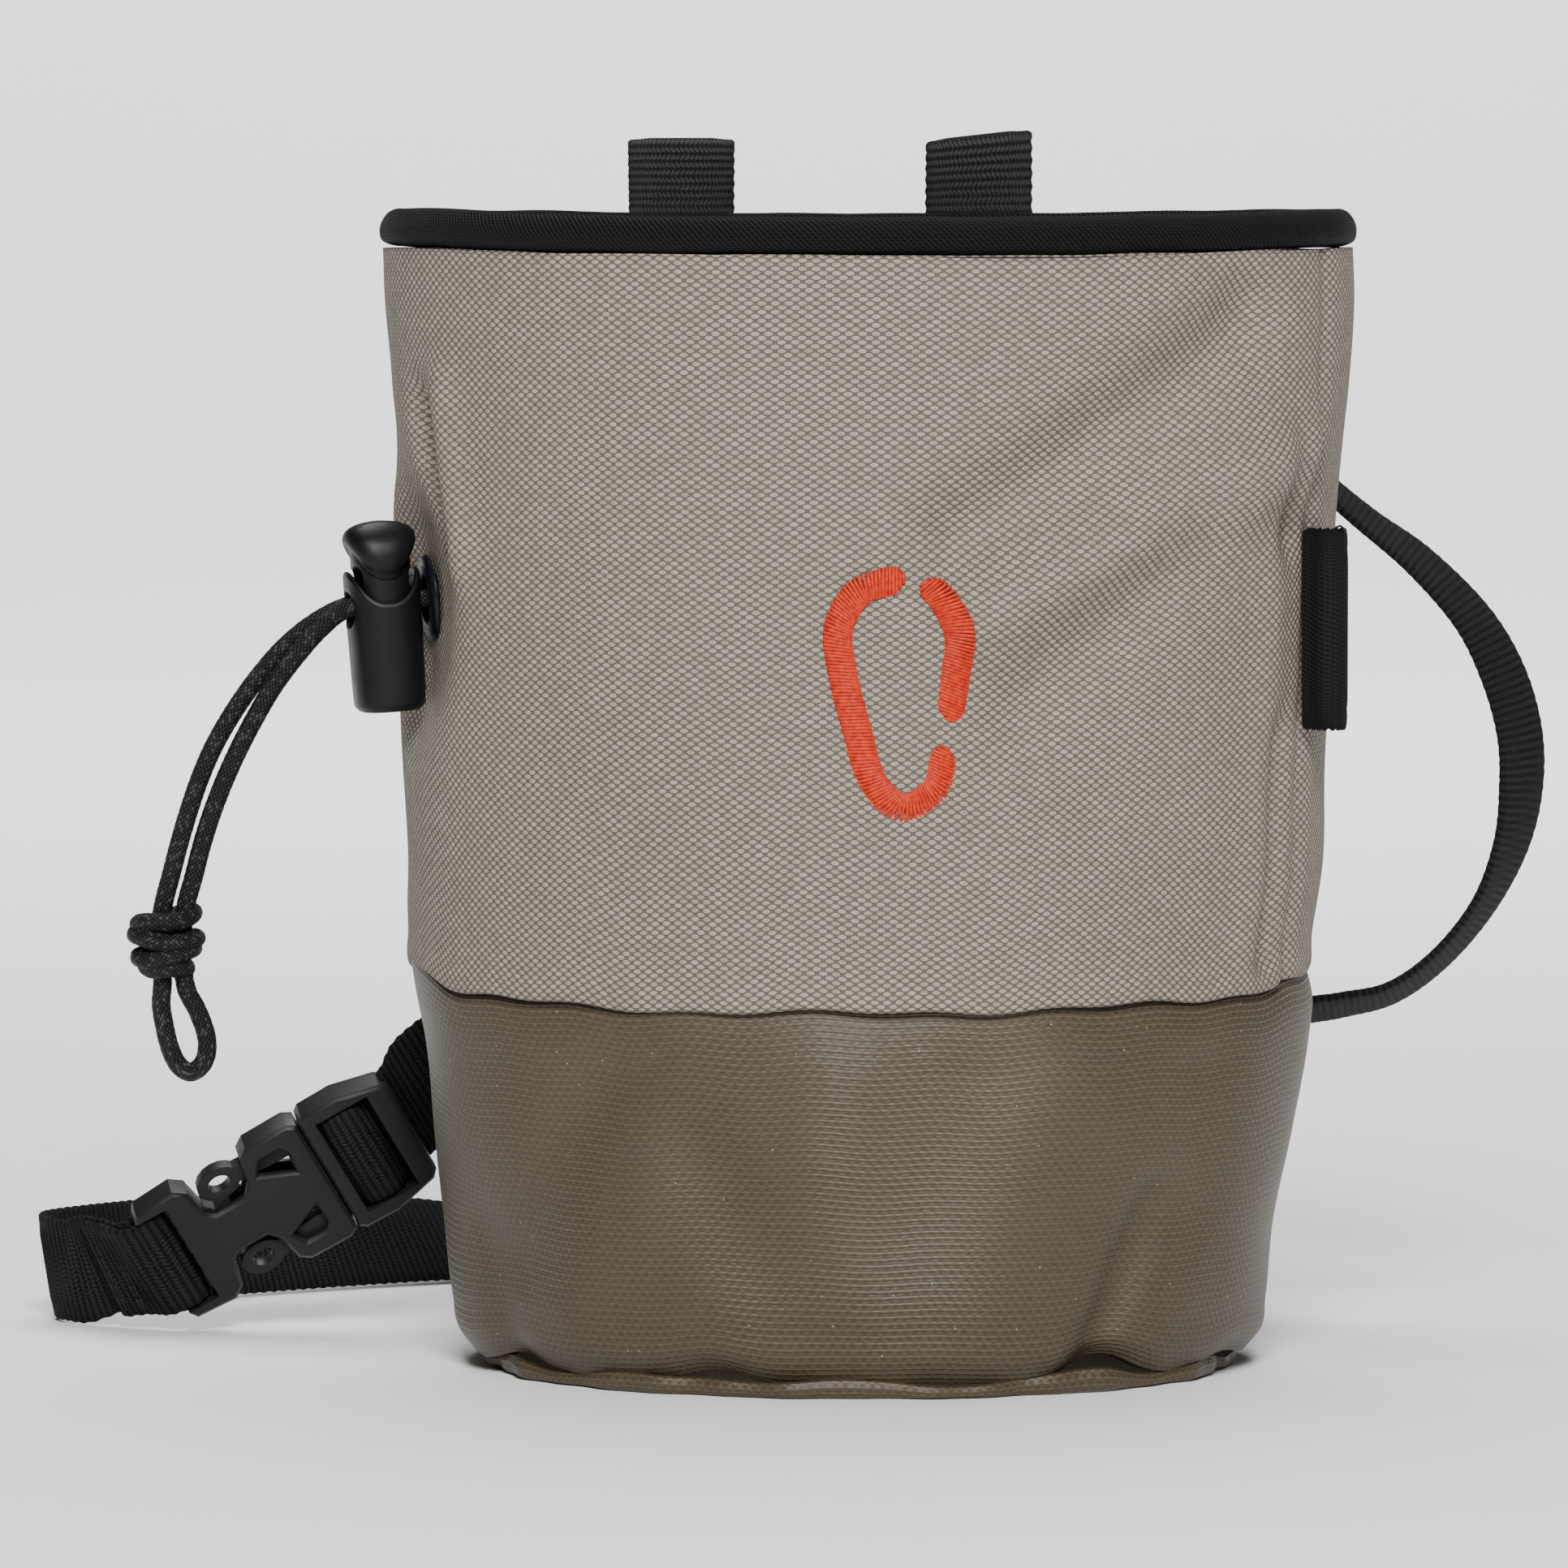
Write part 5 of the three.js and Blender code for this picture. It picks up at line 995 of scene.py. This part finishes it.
STRAND_FRONT = [
    (-92.6, -15.7, 64.0), (-91.6, -15.9, 67.6), (-90.5, -16.2, 71.8), (-89.1, -16.4, 76.2), (-87.4, -16.5, 80.6),
    (-85.4, -16.5, 85.0), (-83.1, -16.4, 89.4), (-80.6, -16.2, 93.6), (-77.6, -15.8, 97.6), (-74.4, -15.0, 101.2),
    (-71.0, -14.0, 103.8), (-66.1, -12.9, 104.6), (-61.6, -11.6, 105.0), (-58.1, -10.6, 105.4),
]
BRAID_PITCH = 3.4 * MM
BRAID_RELIEF = 0.12 * MM
BRAID_PLAITS = 12.0
PLAIT_LONG = 0.78 * MM


def braided_tube(name, line, sides=32, closed=False):
    """A braided cord along a line: two families of strands that wind opposite ways."""
    run = unit(np.gradient(line, axis=0))
    side = np.cross(run[0], (0, 1, 0.2))
    sides_at = []
    for direction in run:
        side = side - direction * np.dot(side, direction)
        side = side / np.linalg.norm(side)
        sides_at.append(side)
    side = np.array(sides_at)
    up = np.cross(run, side)
    along = np.concatenate([[0], np.cumsum(np.linalg.norm(np.diff(line, axis=0), axis=1))])[:, None]
    angle = (np.arange(sides) * math.tau / sides)[None, :]
    phase = math.tau * along / BRAID_PITCH
    strands = np.maximum(np.cos(4 * angle + phase * 1.5), np.cos(4 * angle - phase * 1.5))
    radius = CORD_DIAMETER / 2 + BRAID_RELIEF * ((0.5 + 0.5 * strands) ** 0.7 - 0.9)
    out = side[:, None] * np.cos(angle)[..., None] + up[:, None] * np.sin(angle)[..., None]
    rings = line[:, None] + out * radius[..., None]
    return turned_grid(name, rings, lengths_along(rings), math.pi * CORD_DIAMETER, closed=closed)


def braid_finish(name):
    """Black yarns with a few grey ones, crossing each other round the cord; each plait has painted shade at its borders
    and a painted sheen on its crest.
    """
    material, tree, shader = new_material(name, (0.006, 0.006, 0.0065, 1), 0.5, Specular_IOR_Level=0.15)
    made = Recipe(tree)
    u, v = made.chart()
    turn_share = made.sum("MULTIPLY", made.sum("DIVIDE", u, math.pi * CORD_DIAMETER), BRAID_PLAITS)
    climb = made.sum("DIVIDE", v, PLAIT_LONG)
    first, second = made.sum("ADD", turn_share, climb), made.sum("SUBTRACT", turn_share, climb)
    cell = made.add("CombineXYZ", {0: made.sum("FLOOR", first), 1: made.sum("FLOOR", second)})
    pick = made.add("TexWhiteNoise", {"Vector": cell.outputs[0]}).outputs["Value"]
    sides = [made.sum("SUBTRACT", 1.0, made.sum("ABSOLUTE", made.sum("SUBTRACT", made.sum(
        "MULTIPLY", made.sum("FRACT", part), 2.0), 1.0))) for part in (first, second)]
    plait = made.sum("POWER", made.sum("MINIMUM", *sides), 0.6)
    # Each plait darker at its borders and lighter at its crest: painted shade and painted sheen. The grey flecks fade
    # into the same shade.
    dark = made.mix(plait, (0.0010, 0.0010, 0.0012, 1), (0.0150, 0.0150, 0.0162, 1))
    grey = made.sum("MULTIPLY", made.sum("GREATER_THAN", pick, 0.80), made.sum("MULTIPLY", plait, 0.8))
    tree.links.new(made.mix(grey, dark, (0.055, 0.055, 0.053, 1)), shader.inputs["Base Color"])
    relief = made.sum("ADD", plait, made.sum("MULTIPLY", made.speckle(2800.0, 2.0), 0.5))
    tree.links.new(made.bump(relief, 0.14 * MM, 1.0), shader.inputs["Normal"])
    return material


cord_points = np.array(STRAND_BACK + KNOT_WAY_DOWN + END_LOOP + KNOT_WAY_UP + STRAND_FRONT) * MM
cord_line, = spaced(smooth_line(cord_points, 16), 0.2 * MM)
cord_length = float(np.linalg.norm(np.diff(cord_line, axis=0), axis=1).sum())
drawcord = braided_tube("drawcord_braid", cord_line)
flecked_braid = braid_finish("black_flecked_braid")
settle(drawcord, flecked_braid, ["drawcord_strand_back", "drawcord_strand_front", "drawcord_end_loop"])

# The knot: both strands wound round themselves, two doubled wraps one above the other.
KNOT_AT = np.array((-95.4, -15.3, 58.6)) * MM
KNOT_TALL = 9.4 * MM
KNOT_WIDE = 10.4 * MM
KNOT_WRAPS = [
    {"up": 0.335, "tilt": 12, "share": 0.94, "twist": 0.3}, {"up": 0.06, "tilt": -4, "share": 1.0, "twist": 1.2},
    {"up": -0.17, "tilt": 10, "share": 0.92, "twist": 2.1}, {"up": -0.345, "tilt": -5, "share": 0.76, "twist": 3.0},
]
wraps = []
for number, wrap in enumerate(KNOT_WRAPS):
    angle = np.linspace(0, math.tau, 120, endpoint=False)
    radius = KNOT_WIDE * wrap["share"] / 2 - CORD_DIAMETER / 2
    uneven = 1 + 0.05 * np.sin(2 * angle + wrap["twist"])
    lift = radius * np.cos(angle) * math.tan(math.radians(wrap["tilt"])) + 0.35 * MM * np.sin(2 * angle + wrap["twist"])
    hoop = np.stack([radius * uneven * np.cos(angle), radius * uneven * np.sin(angle), lift + wrap["up"] * KNOT_TALL], -1)
    wraps.append(braided_tube(f"knot_wrap_{number}", hoop + KNOT_AT, closed=True))
core_rings = np.array([
    [(KNOT_AT[0] + KNOT_WIDE * share * math.cos(a), KNOT_AT[1] + KNOT_WIDE * share * math.sin(a), KNOT_AT[2] + KNOT_TALL * up)
     for a in np.linspace(0, math.tau, 32, endpoint=False)]
    for share, up in ((0.12, -0.47), (0.24, -0.40), (0.30, -0.1), (0.30, 0.2), (0.25, 0.40), (0.12, 0.47))
])
wraps.append(turned_grid("knot_core", core_rings, lengths_along(core_rings), math.pi * CORD_DIAMETER, closed=False))


def joined(name, pieces):
    """One piece made of several."""
    whole = bmesh.new()
    for piece in pieces:
        whole.from_mesh(piece.data)
        bpy.data.objects.remove(piece)
    mesh = bpy.data.meshes.new(name)
    whole.to_mesh(mesh)
    whole.free()
    made = bpy.data.objects.new(name, mesh)
    scene.collection.objects.link(made)
    return made


knot = joined("drawcord_knot_braid", wraps)
settle(knot, flecked_braid, ["drawcord_knot"])

# Buckle: a side release buckle in black moulded plastic. The socket and the plug are two pieces;
# the plug's two sprung rings show in the socket's notches.
BUCKLE_LENGTH = 40.4 * MM
BUCKLE_RISE = 29.5
BUCKLE_LEAN = 20
BUCKLE_ROUND = 0.28 * MM
SOCKET_BAR = 1.5 * MM
PLUG_BAR = 32.4 * MM
BAR_RADIUS = 1.2 * MM
buckle_along = Vector((math.cos(math.radians(BUCKLE_RISE)), 0, math.sin(math.radians(BUCKLE_RISE))))
buckle_proud = Matrix.Rotation(math.radians(BUCKLE_LEAN), 3, buckle_along) @ Vector((0, -1, 0))
buckle_across = buckle_proud.cross(buckle_along).normalized()
buckle_at = Vector((-1.498 * HALF_WIDTH, 0.695 * HALF_DEPTH, 0.0625 * RIM_HEIGHT))


def in_buckle(along, across, proud):
    return np.array(buckle_at + buckle_along * along + buckle_across * across + buckle_proud * proud)


def softened(node, name, width):
    """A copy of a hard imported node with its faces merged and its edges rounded."""
    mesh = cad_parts[node].data.copy()
    body = bmesh.new()
    body.from_mesh(mesh)
    bmesh.ops.remove_doubles(body, verts=body.verts, dist=0.002 * MM)
    bmesh.ops.dissolve_limit(body, angle_limit=math.radians(1), verts=body.verts, edges=body.edges)
    body.to_mesh(mesh)
    body.free()
    piece = bpy.data.objects.new(name, mesh)
    scene.collection.objects.link(piece)
    return round_edges(piece, width, 3)


buckle_black = worn_finish("satin_black_buckle", (0.0125, 0.0125, 0.0145), 0.46, 0.0, 1500.0, 0.02 * MM)
for node in ("buckle_socket", "buckle_plug"):
    half = softened(node, node + "_moulding", BUCKLE_ROUND)
    settle(half, buckle_black, [node])

# Belt: one length of webbing from its tail behind the plug, round the plug's bar, up behind the bag,
# through both loops, out in an arc on the right, down and along the floor, and round to the socket's
# bar, where its end is sewn back on itself.
STRAP_THICK = 1.3 * MM
BELT_HEIGHT = 136 * MM
wrap_radius = BAR_RADIUS + SEAM_GAP + STRAP_THICK / 2
layer = STRAP_THICK + SEAM_GAP


def wrapped(bar, start, end, slack_share=1.0):
    """Places round a bar of the buckle."""
    angles = [math.radians(start + (end - start) * k / 4) for k in range(5)]
    out = wrap_radius * slack_share
    return [(in_buckle(bar + out * math.cos(a), 0, wrap_radius * math.sin(a)), buckle_across) for a in angles]


def beside(along, proud, across=0):
    return in_buckle(PLUG_BAR + along * MM, across, proud), buckle_across


at_plug = [
    beside(22, -wrap_radius - 1.7 * layer), beside(12, -wrap_radius - 1.5 * layer), beside(6, -wrap_radius - 0.7 * layer),
    beside(2.4, -wrap_radius - 0.1 * layer), *wrapped(PLUG_BAR, 270, 90, 1.45), beside(2.0, wrap_radius * 0.84),
    beside(3.5, 0), beside(5.0, -wrap_radius * 0.5), beside(8.0, -wrap_radius * 0.75, 1.0 * MM), beside(12.0, -wrap_radius * 1.1, 3.4 * MM),
]
# Across, back and up are shares of HALF_WIDTH, HALF_DEPTH and RIM_HEIGHT, then the width's direction
RISE_ROWS = [
    (-0.83, 0.78, 0.262, (-0.50, -0.15, 0.82)), (-0.74, 0.90, 0.318, (-0.50, 0.45, 0.60)),
    (-0.76, 1.04, 0.405, (-0.10, 0.98, 0.00)), (-0.84, 1.11, 0.520, (0.05, 0.99, 0.00)),
    (-0.86, 1.14, 0.650, (0.05, 0.99, 0.05)), (-0.80, 1.07, 0.770, (-0.10, 0.90, 0.35)),
    (-0.68, 0.88, 0.838, (-0.25, 0.40, 0.85)),
]
ARC_ROWS = [
    (0.66, 0.86, 0.832, (0.10, 0.50, 0.84)), (0.83, 0.80, 0.800, (0.12, 0.86, 0.45)),
    (0.95, 0.77, 0.760, (0.13, 0.96, 0.16)), (1.06, 0.76, 0.722, (0.16, 0.98, 0.13)),
    (1.17, 0.75, 0.686, (0.22, 0.96, 0.17)), (1.28, 0.74, 0.637, (0.33, 0.93, 0.14)),
    (1.345, 0.73, 0.588, (0.41, 0.90, 0.11)), (1.382, 0.73, 0.535, (0.44, 0.90, 0.05)),
    (1.386, 0.73, 0.485, (0.43, 0.90, -0.05)), (1.365, 0.735, 0.433, (0.34, 0.93, -0.12)),
    (1.308, 0.755, 0.379, (0.22, 0.96, -0.16)), (1.219, 0.78, 0.332, (0.16, 0.97, -0.19)),
    (1.118, 0.82, 0.300, (0.12, 0.97, -0.22)), (1.010, 0.88, 0.287, (0.08, 0.96, -0.26)),
    (0.880, 0.95, 0.275, (0.15, 0.95, -0.26)), (0.700, 1.12, 0.236, (0.40, 0.90, -0.10)),
    (0.500, 1.40, 0.163, (0.55, 0.83, 0.00)), (0.320, 1.68, 0.072, (0.60, 0.80, 0.00)),
    (0.160, 1.91, 0.0135, (0.60, 0.80, 0.00)),
]
# On the floor: across, back, how far the webbing leans out from standing on its edge, and which way
FLOOR_ROWS = [
    (0.02, 2.09, 90, (0.58, 0.82)), (-0.18, 2.26, 90, (0.35, 0.94)), (-0.45, 2.32, 84, (-0.10, 0.99)),
    (-0.70, 2.22, 64, (-0.45, 0.89)), (-0.92, 2.06, 45, (-0.58, 0.81)), (-1.14, 1.88, 33, (-0.64, 0.77)),
    (-1.35, 1.67, 23, (-0.71, 0.70)), (-1.53, 1.44, 14, (-0.77, 0.64)), (-1.66, 1.24, 9, (-0.83, 0.56)),
    (-1.735, 1.10, 8, (-0.97, 0.20)), (-1.748, 1.01, 9, (-1.00, -0.05)), (-1.725, 0.92, 11, (-0.97, -0.25)),
    (-1.68, 0.855, 14, (-0.92, -0.30)),
]
SEWN_ROWS = [(-1.625, 0.805, 0.0555, (-0.42, -0.04, 0.90)), (-1.575, 0.755, 0.0570, (-0.48, -0.16, 0.86))]


def in_space(across, back, up, wide):
    return np.array([across * HALF_WIDTH, back * HALF_DEPTH, up * RIM_HEIGHT]), unit(np.array(wide))


def on_floor(across, back, lean, wide):
    lean = math.radians(lean)
    out = unit(np.array(wide)) * math.sin(lean)
    up = STRAP_WIDTH / 2 * math.cos(lean) + STRAP_THICK / 2 * math.sin(lean) + SEAM_GAP
    return np.array([across * HALF_WIDTH, back * HALF_DEPTH, up]), np.array([*out, math.cos(lean)])


def through_loops(across):
    back, stretch = back_wall(across * HALF_WIDTH, BELT_HEIGHT)
    off = SEWN_OFF + LOOP_THICK / 2 + 3 * SEAM_GAP + STRAP_THICK / 2
    return np.array([across * HALF_WIDTH, back + off * stretch, BELT_HEIGHT]), np.array([0, 0, 1])


def sewn(side):
    """One layer of the end that is sewn back, in front of the other layer or behind it."""
    rows = [in_space(*row) for row in SEWN_ROWS]
    rows = [(at + np.array(buckle_proud) * side * layer * 0.6, wide) for at, wide in rows]
    rows.append((in_buckle(SOCKET_BAR - 3.8 * MM, 0.2 * MM, side * layer * 0.75), buckle_across))
    rows.append((in_buckle(SOCKET_BAR - 1.5 * MM, 0, side * wrap_radius * 0.92), buckle_across))
    return rows


belt_places = [
    *at_plug, *[in_space(*row) for row in RISE_ROWS],
    *[through_loops(across) for across in (-0.53, -0.39, -0.24, -0.08, 0.09, 0.24, 0.38, 0.50)],
    *[in_space(*row) for row in ARC_ROWS], *[on_floor(*row) for row in FLOOR_ROWS],
    *sewn(-1), *wrapped(SOCKET_BAR, -90, 90), *sewn(1)[::-1],
]
ribbed_webbing = webbing_finish("black_ribbed_webbing", RIB_WEBBING)
belt = webbing("belt_webbing", belt_places, STRAP_WIDTH, STRAP_THICK, RIB_WEBBING, 0.55, 0.2 * MM)
settle(belt, ribbed_webbing, ["belt_strap"])

# Embroidery: a plain climber's snap link in orange thread on the front, close satin stitches laid
# across the band of its outline.
EMBROIDERY_AT = (3.7 * MM, 95.0 * MM)
BAND_WIDE = 3.6 * MM
STITCH_GAP = 0.46 * MM
THREAD_RADIUS = 0.26 * MM
THREAD_LIFT = 0.30 * MM
# The band's middle line, in millimetres right of and above the embroidery's middle
LINK_SHAPE = [
    (0.5, 15.2), (-5.0, 13.6), (-8.0, 8.6), (-7.4, 2.0), (-5.6, -5.0), (-3.6, -11.6), (0.2, -15.2), (4.6, -13.0),
    (6.0, -7.4),
]
GATE_SHAPE = [(6.6, -3.6), (7.4, 2.4), (7.6, 8.0), (5.6, 12.4), (3.4, 14.6)]


def on_front(across, height, proud):
    """A point just off the upper panel's front."""
    rise = (height - HEM_HEIGHT) / UPPER_TALL
    half_width = HALF_WIDTH * float(smooth_lookup(UPPER_SECTIONS, "right", rise))
    turn = 360 - math.degrees(math.acos(across / half_width))
    return upper_point(np.full((1, 1), turn), np.full((1, 1), rise), -proud)[0, 0]


def satin(shape, ends_round):
    """Short straight threads across a band, as pairs of ends on the bag's front."""
    middle = np.array([(x, y, 0) for x, y in shape]) * MM
    line, = spaced(smooth_line(middle, 24), STITCH_GAP)
    run = unit(np.gradient(line, axis=0))
    beside = np.stack([-run[:, 1], run[:, 0], 0 * run[:, 0]], -1)
    rng = np.random.default_rng(7 + len(shape))
    count = len(line)
    threads = []
    for k in range(count):
        share = min(k, count - 1 - k) * STITCH_GAP / (BAND_WIDE / 2)
        half = BAND_WIDE / 2 * (math.sqrt(min(1, max(0.12, share * (2 - min(1, share))))) if ends_round else 1)
        slip = rng.uniform(-0.06, 0.06, 2) * MM
        slant = run[k] * 0.2 * half
        threads.append([line[k] + beside[k] * (half + slip[0]) + slant, line[k] - beside[k] * (half + slip[1]) - slant])
    return threads


def thread_tree(name):
    """Lays a round thread along each line: named inputs give its radius, its sides and its material."""
    tree = bpy.data.node_groups.new(name, "GeometryNodeTree")
    face = tree.interface
    face.new_socket("Lines", in_out="INPUT", socket_type="NodeSocketGeometry")
    face.new_socket("Thread radius", in_out="INPUT", socket_type="NodeSocketFloat")
    face.new_socket("Sides", in_out="INPUT", socket_type="NodeSocketInt")
    face.new_socket("Thread", in_out="INPUT", socket_type="NodeSocketMaterial")
    face.new_socket("Threads", in_out="OUTPUT", socket_type="NodeSocketGeometry")
    start, end = tree.nodes.new("NodeGroupInput"), tree.nodes.new("NodeGroupOutput")
    to_curve = tree.nodes.new("GeometryNodeMeshToCurve")
    circle = tree.nodes.new("GeometryNodeCurvePrimitiveCircle")
    sweep = tree.nodes.new("GeometryNodeCurveToMesh")
    sweep.inputs["Fill Caps"].default_value = True
    real = tree.nodes.new("GeometryNodeRealizeInstances")
    dress = tree.nodes.new("GeometryNodeSetMaterial")
    for a, b in (
        (start.outputs["Lines"], to_curve.inputs["Mesh"]), (start.outputs["Thread radius"], circle.inputs["Radius"]),
        (start.outputs["Sides"], circle.inputs["Resolution"]), (to_curve.outputs["Curve"], sweep.inputs["Curve"]),
        (circle.outputs["Curve"], sweep.inputs["Profile Curve"]), (sweep.outputs["Mesh"], real.inputs["Geometry"]),
        (real.outputs["Geometry"], dress.inputs["Geometry"]), (start.outputs["Thread"], dress.inputs["Material"]),
        (dress.outputs["Geometry"], end.inputs["Threads"]),
    ):
        tree.links.new(a, b)
    return tree


def laid_threads(name, lines, radius, sides, material, tree):
    """Threads along lines of points, made by the thread tree and turned into a plain mesh."""
    points, edges = [], []
    for line in lines:
        edges += [(len(points) + k, len(points) + k + 1) for k in range(len(line) - 1)]
        points += [tuple(point) for point in line]
    mesh = bpy.data.meshes.new(name)
    mesh.from_pydata(points, edges, [])
    piece = bpy.data.objects.new(name, mesh)
    scene.collection.objects.link(piece)
    weave = piece.modifiers.new("threads", "NODES")
    weave.node_group = tree
    sockets = {item.name: item.identifier for item in tree.interface.items_tree if item.in_out == "INPUT"}
    weave[sockets["Thread radius"]] = radius
    weave[sockets["Sides"]] = sides
    weave[sockets["Thread"]] = material
    baked = bpy.data.meshes.new_from_object(piece.evaluated_get(bpy.context.evaluated_depsgraph_get()))
    piece.modifiers.clear()
    piece.data = baked
    return piece


orange, orange_tree, orange_shader = new_material(
    "orange_satin_thread", (0.50, 0.026, 0.006, 1), 0.5, Specular_IOR_Level=0.25)
made = Recipe(orange_tree)
sheen = made.ramp(made.speckle(1500.0, 2.0), [(0.35, (0.38, 0.014, 0.003)), (0.65, (0.58, 0.034, 0.008))])
orange_tree.links.new(sheen, orange_shader.inputs["Base Color"])
orange_tree.links.new(made.bump(made.speckle(4000.0, 1.0), 0.02 * MM), orange_shader.inputs["Normal"])
threads = thread_tree("laid_threads")
stitch_lines = []
for shape in (LINK_SHAPE, GATE_SHAPE):
    for start, end in satin(shape, True):
        line = []
        for share, lift in ((0.0, -0.15), (0.08, 0.55), (0.3, 0.95), (0.7, 0.95), (0.92, 0.55), (1.0, -0.15)):
            spot = start + (end - start) * share
            line.append(on_front(EMBROIDERY_AT[0] + spot[0], EMBROIDERY_AT[1] + spot[1], THREAD_LIFT * lift))
        stitch_lines.append(line)
embroidery = laid_threads("front_embroidery", stitch_lines, THREAD_RADIUS, 6, orange, threads)
embroidery.data.polygons.foreach_set("use_smooth", [True] * len(embroidery.data.polygons))
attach(embroidery, "bag")

# Stitching: black thread through the belt loops' sewn feet, across the belt's sewn end, and a loose
# thread end at the top of the brush loop.
STITCH_LONG = 2.2 * MM
SEAM_THREAD = 0.16 * MM
# Corners of one box stitch: across the loop and up from its lower end, in millimetres
BOX_STITCH = [(-5.3, 1.5), (5.3, 1.5), (5.3, 8.0), (-5.3, 8.0), (-5.3, 1.5), (5.3, 8.0), (5.3, 1.5), (-5.3, 8.0)]
# Rows across the belt's end: a share of the way from one sewn row to the next
TACK_ROWS = [0.0, 0.16, 0.84, 1.0]


def stitched(corners, place):
    """Raised stitches with a small gap between them, along a line through corners on a surface."""
    lines = []
    for start, end in zip(corners[:-1], corners[1:]):
        start, end = np.array(start), np.array(end)
        first, last = place(*start, 0), place(*end, 0)
        count = max(1, round(float(np.linalg.norm(last - first)) / STITCH_LONG))
        for k in range(count):
            spots = [((k + share) / count, lift) for share, lift in ((0.1, -0.6), (0.2, 0.5), (0.8, 0.5), (0.9, -0.6))]
            lines.append([place(*(start + (end - start) * t), SEAM_THREAD * lift) for t, lift in spots])
    return lines


def on_loop(across):
    def place(out, up, lift):
        x, height = across + out * MM, RIM_HEIGHT - LOOP_FOOT + up * MM
        back, stretch = back_wall(x, height)
        return np.array([x, back + (OUTER_SEWN_OFF + LOOP_THICK / 2 + 0.1 * MM + lift) * stretch, height])
    return place


def on_belt_end(out, share, lift):
    (first, wide), (second, _) = (in_space(*row) for row in SEWN_ROWS)
    face = layer * 0.6 + STRAP_THICK / 2 + 0.12 * MM + lift
    return first + (second - first) * share + wide * out * MM + np.array(buckle_proud) * face


seam_black, _, _ = new_material("black_seam_thread", (0.012, 0.012, 0.013, 1), 0.6, Specular_IOR_Level=0.2)
loop_lines = [line for row in BELT_LOOPS for line in stitched(BOX_STITCH, on_loop(row["across"] * HALF_WIDTH))]
tack_lines = [line for share in TACK_ROWS for line in stitched([(-6.4, share), (6.4, share)], on_belt_end)]
brush_top = np.array([seam_at[0], seam_at[1], BRUSH_HEIGHT + BRUSH_TALL / 2]) + out_of_seam * BRUSH_REACH * 0.9
loose_end = [[brush_top + out_of_seam * out * MM + np.array([0, 0, up * MM]) + beside_seam * side * MM
              for out, up, side in ((-0.8, -1.0, 0.0), (-0.2, 0.2, -0.2), (0.5, 0.5, -0.4), (1.1, 0.1, -0.5), (1.3, -0.6, -0.4))]]
for name, lines, slot in (("loop_box_stitches", loop_lines, "loop_webbing"), ("belt_end_tack", tack_lines, "belt_webbing"),
                          ("brush_loop_thread_end", loose_end, "elastic")):
    sewing = laid_threads(name, lines, SEAM_THREAD, 6, seam_black, threads)
    sewing.data.polygons.foreach_set("use_smooth", [True] * len(sewing.data.polygons))
    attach(sewing, "bag")
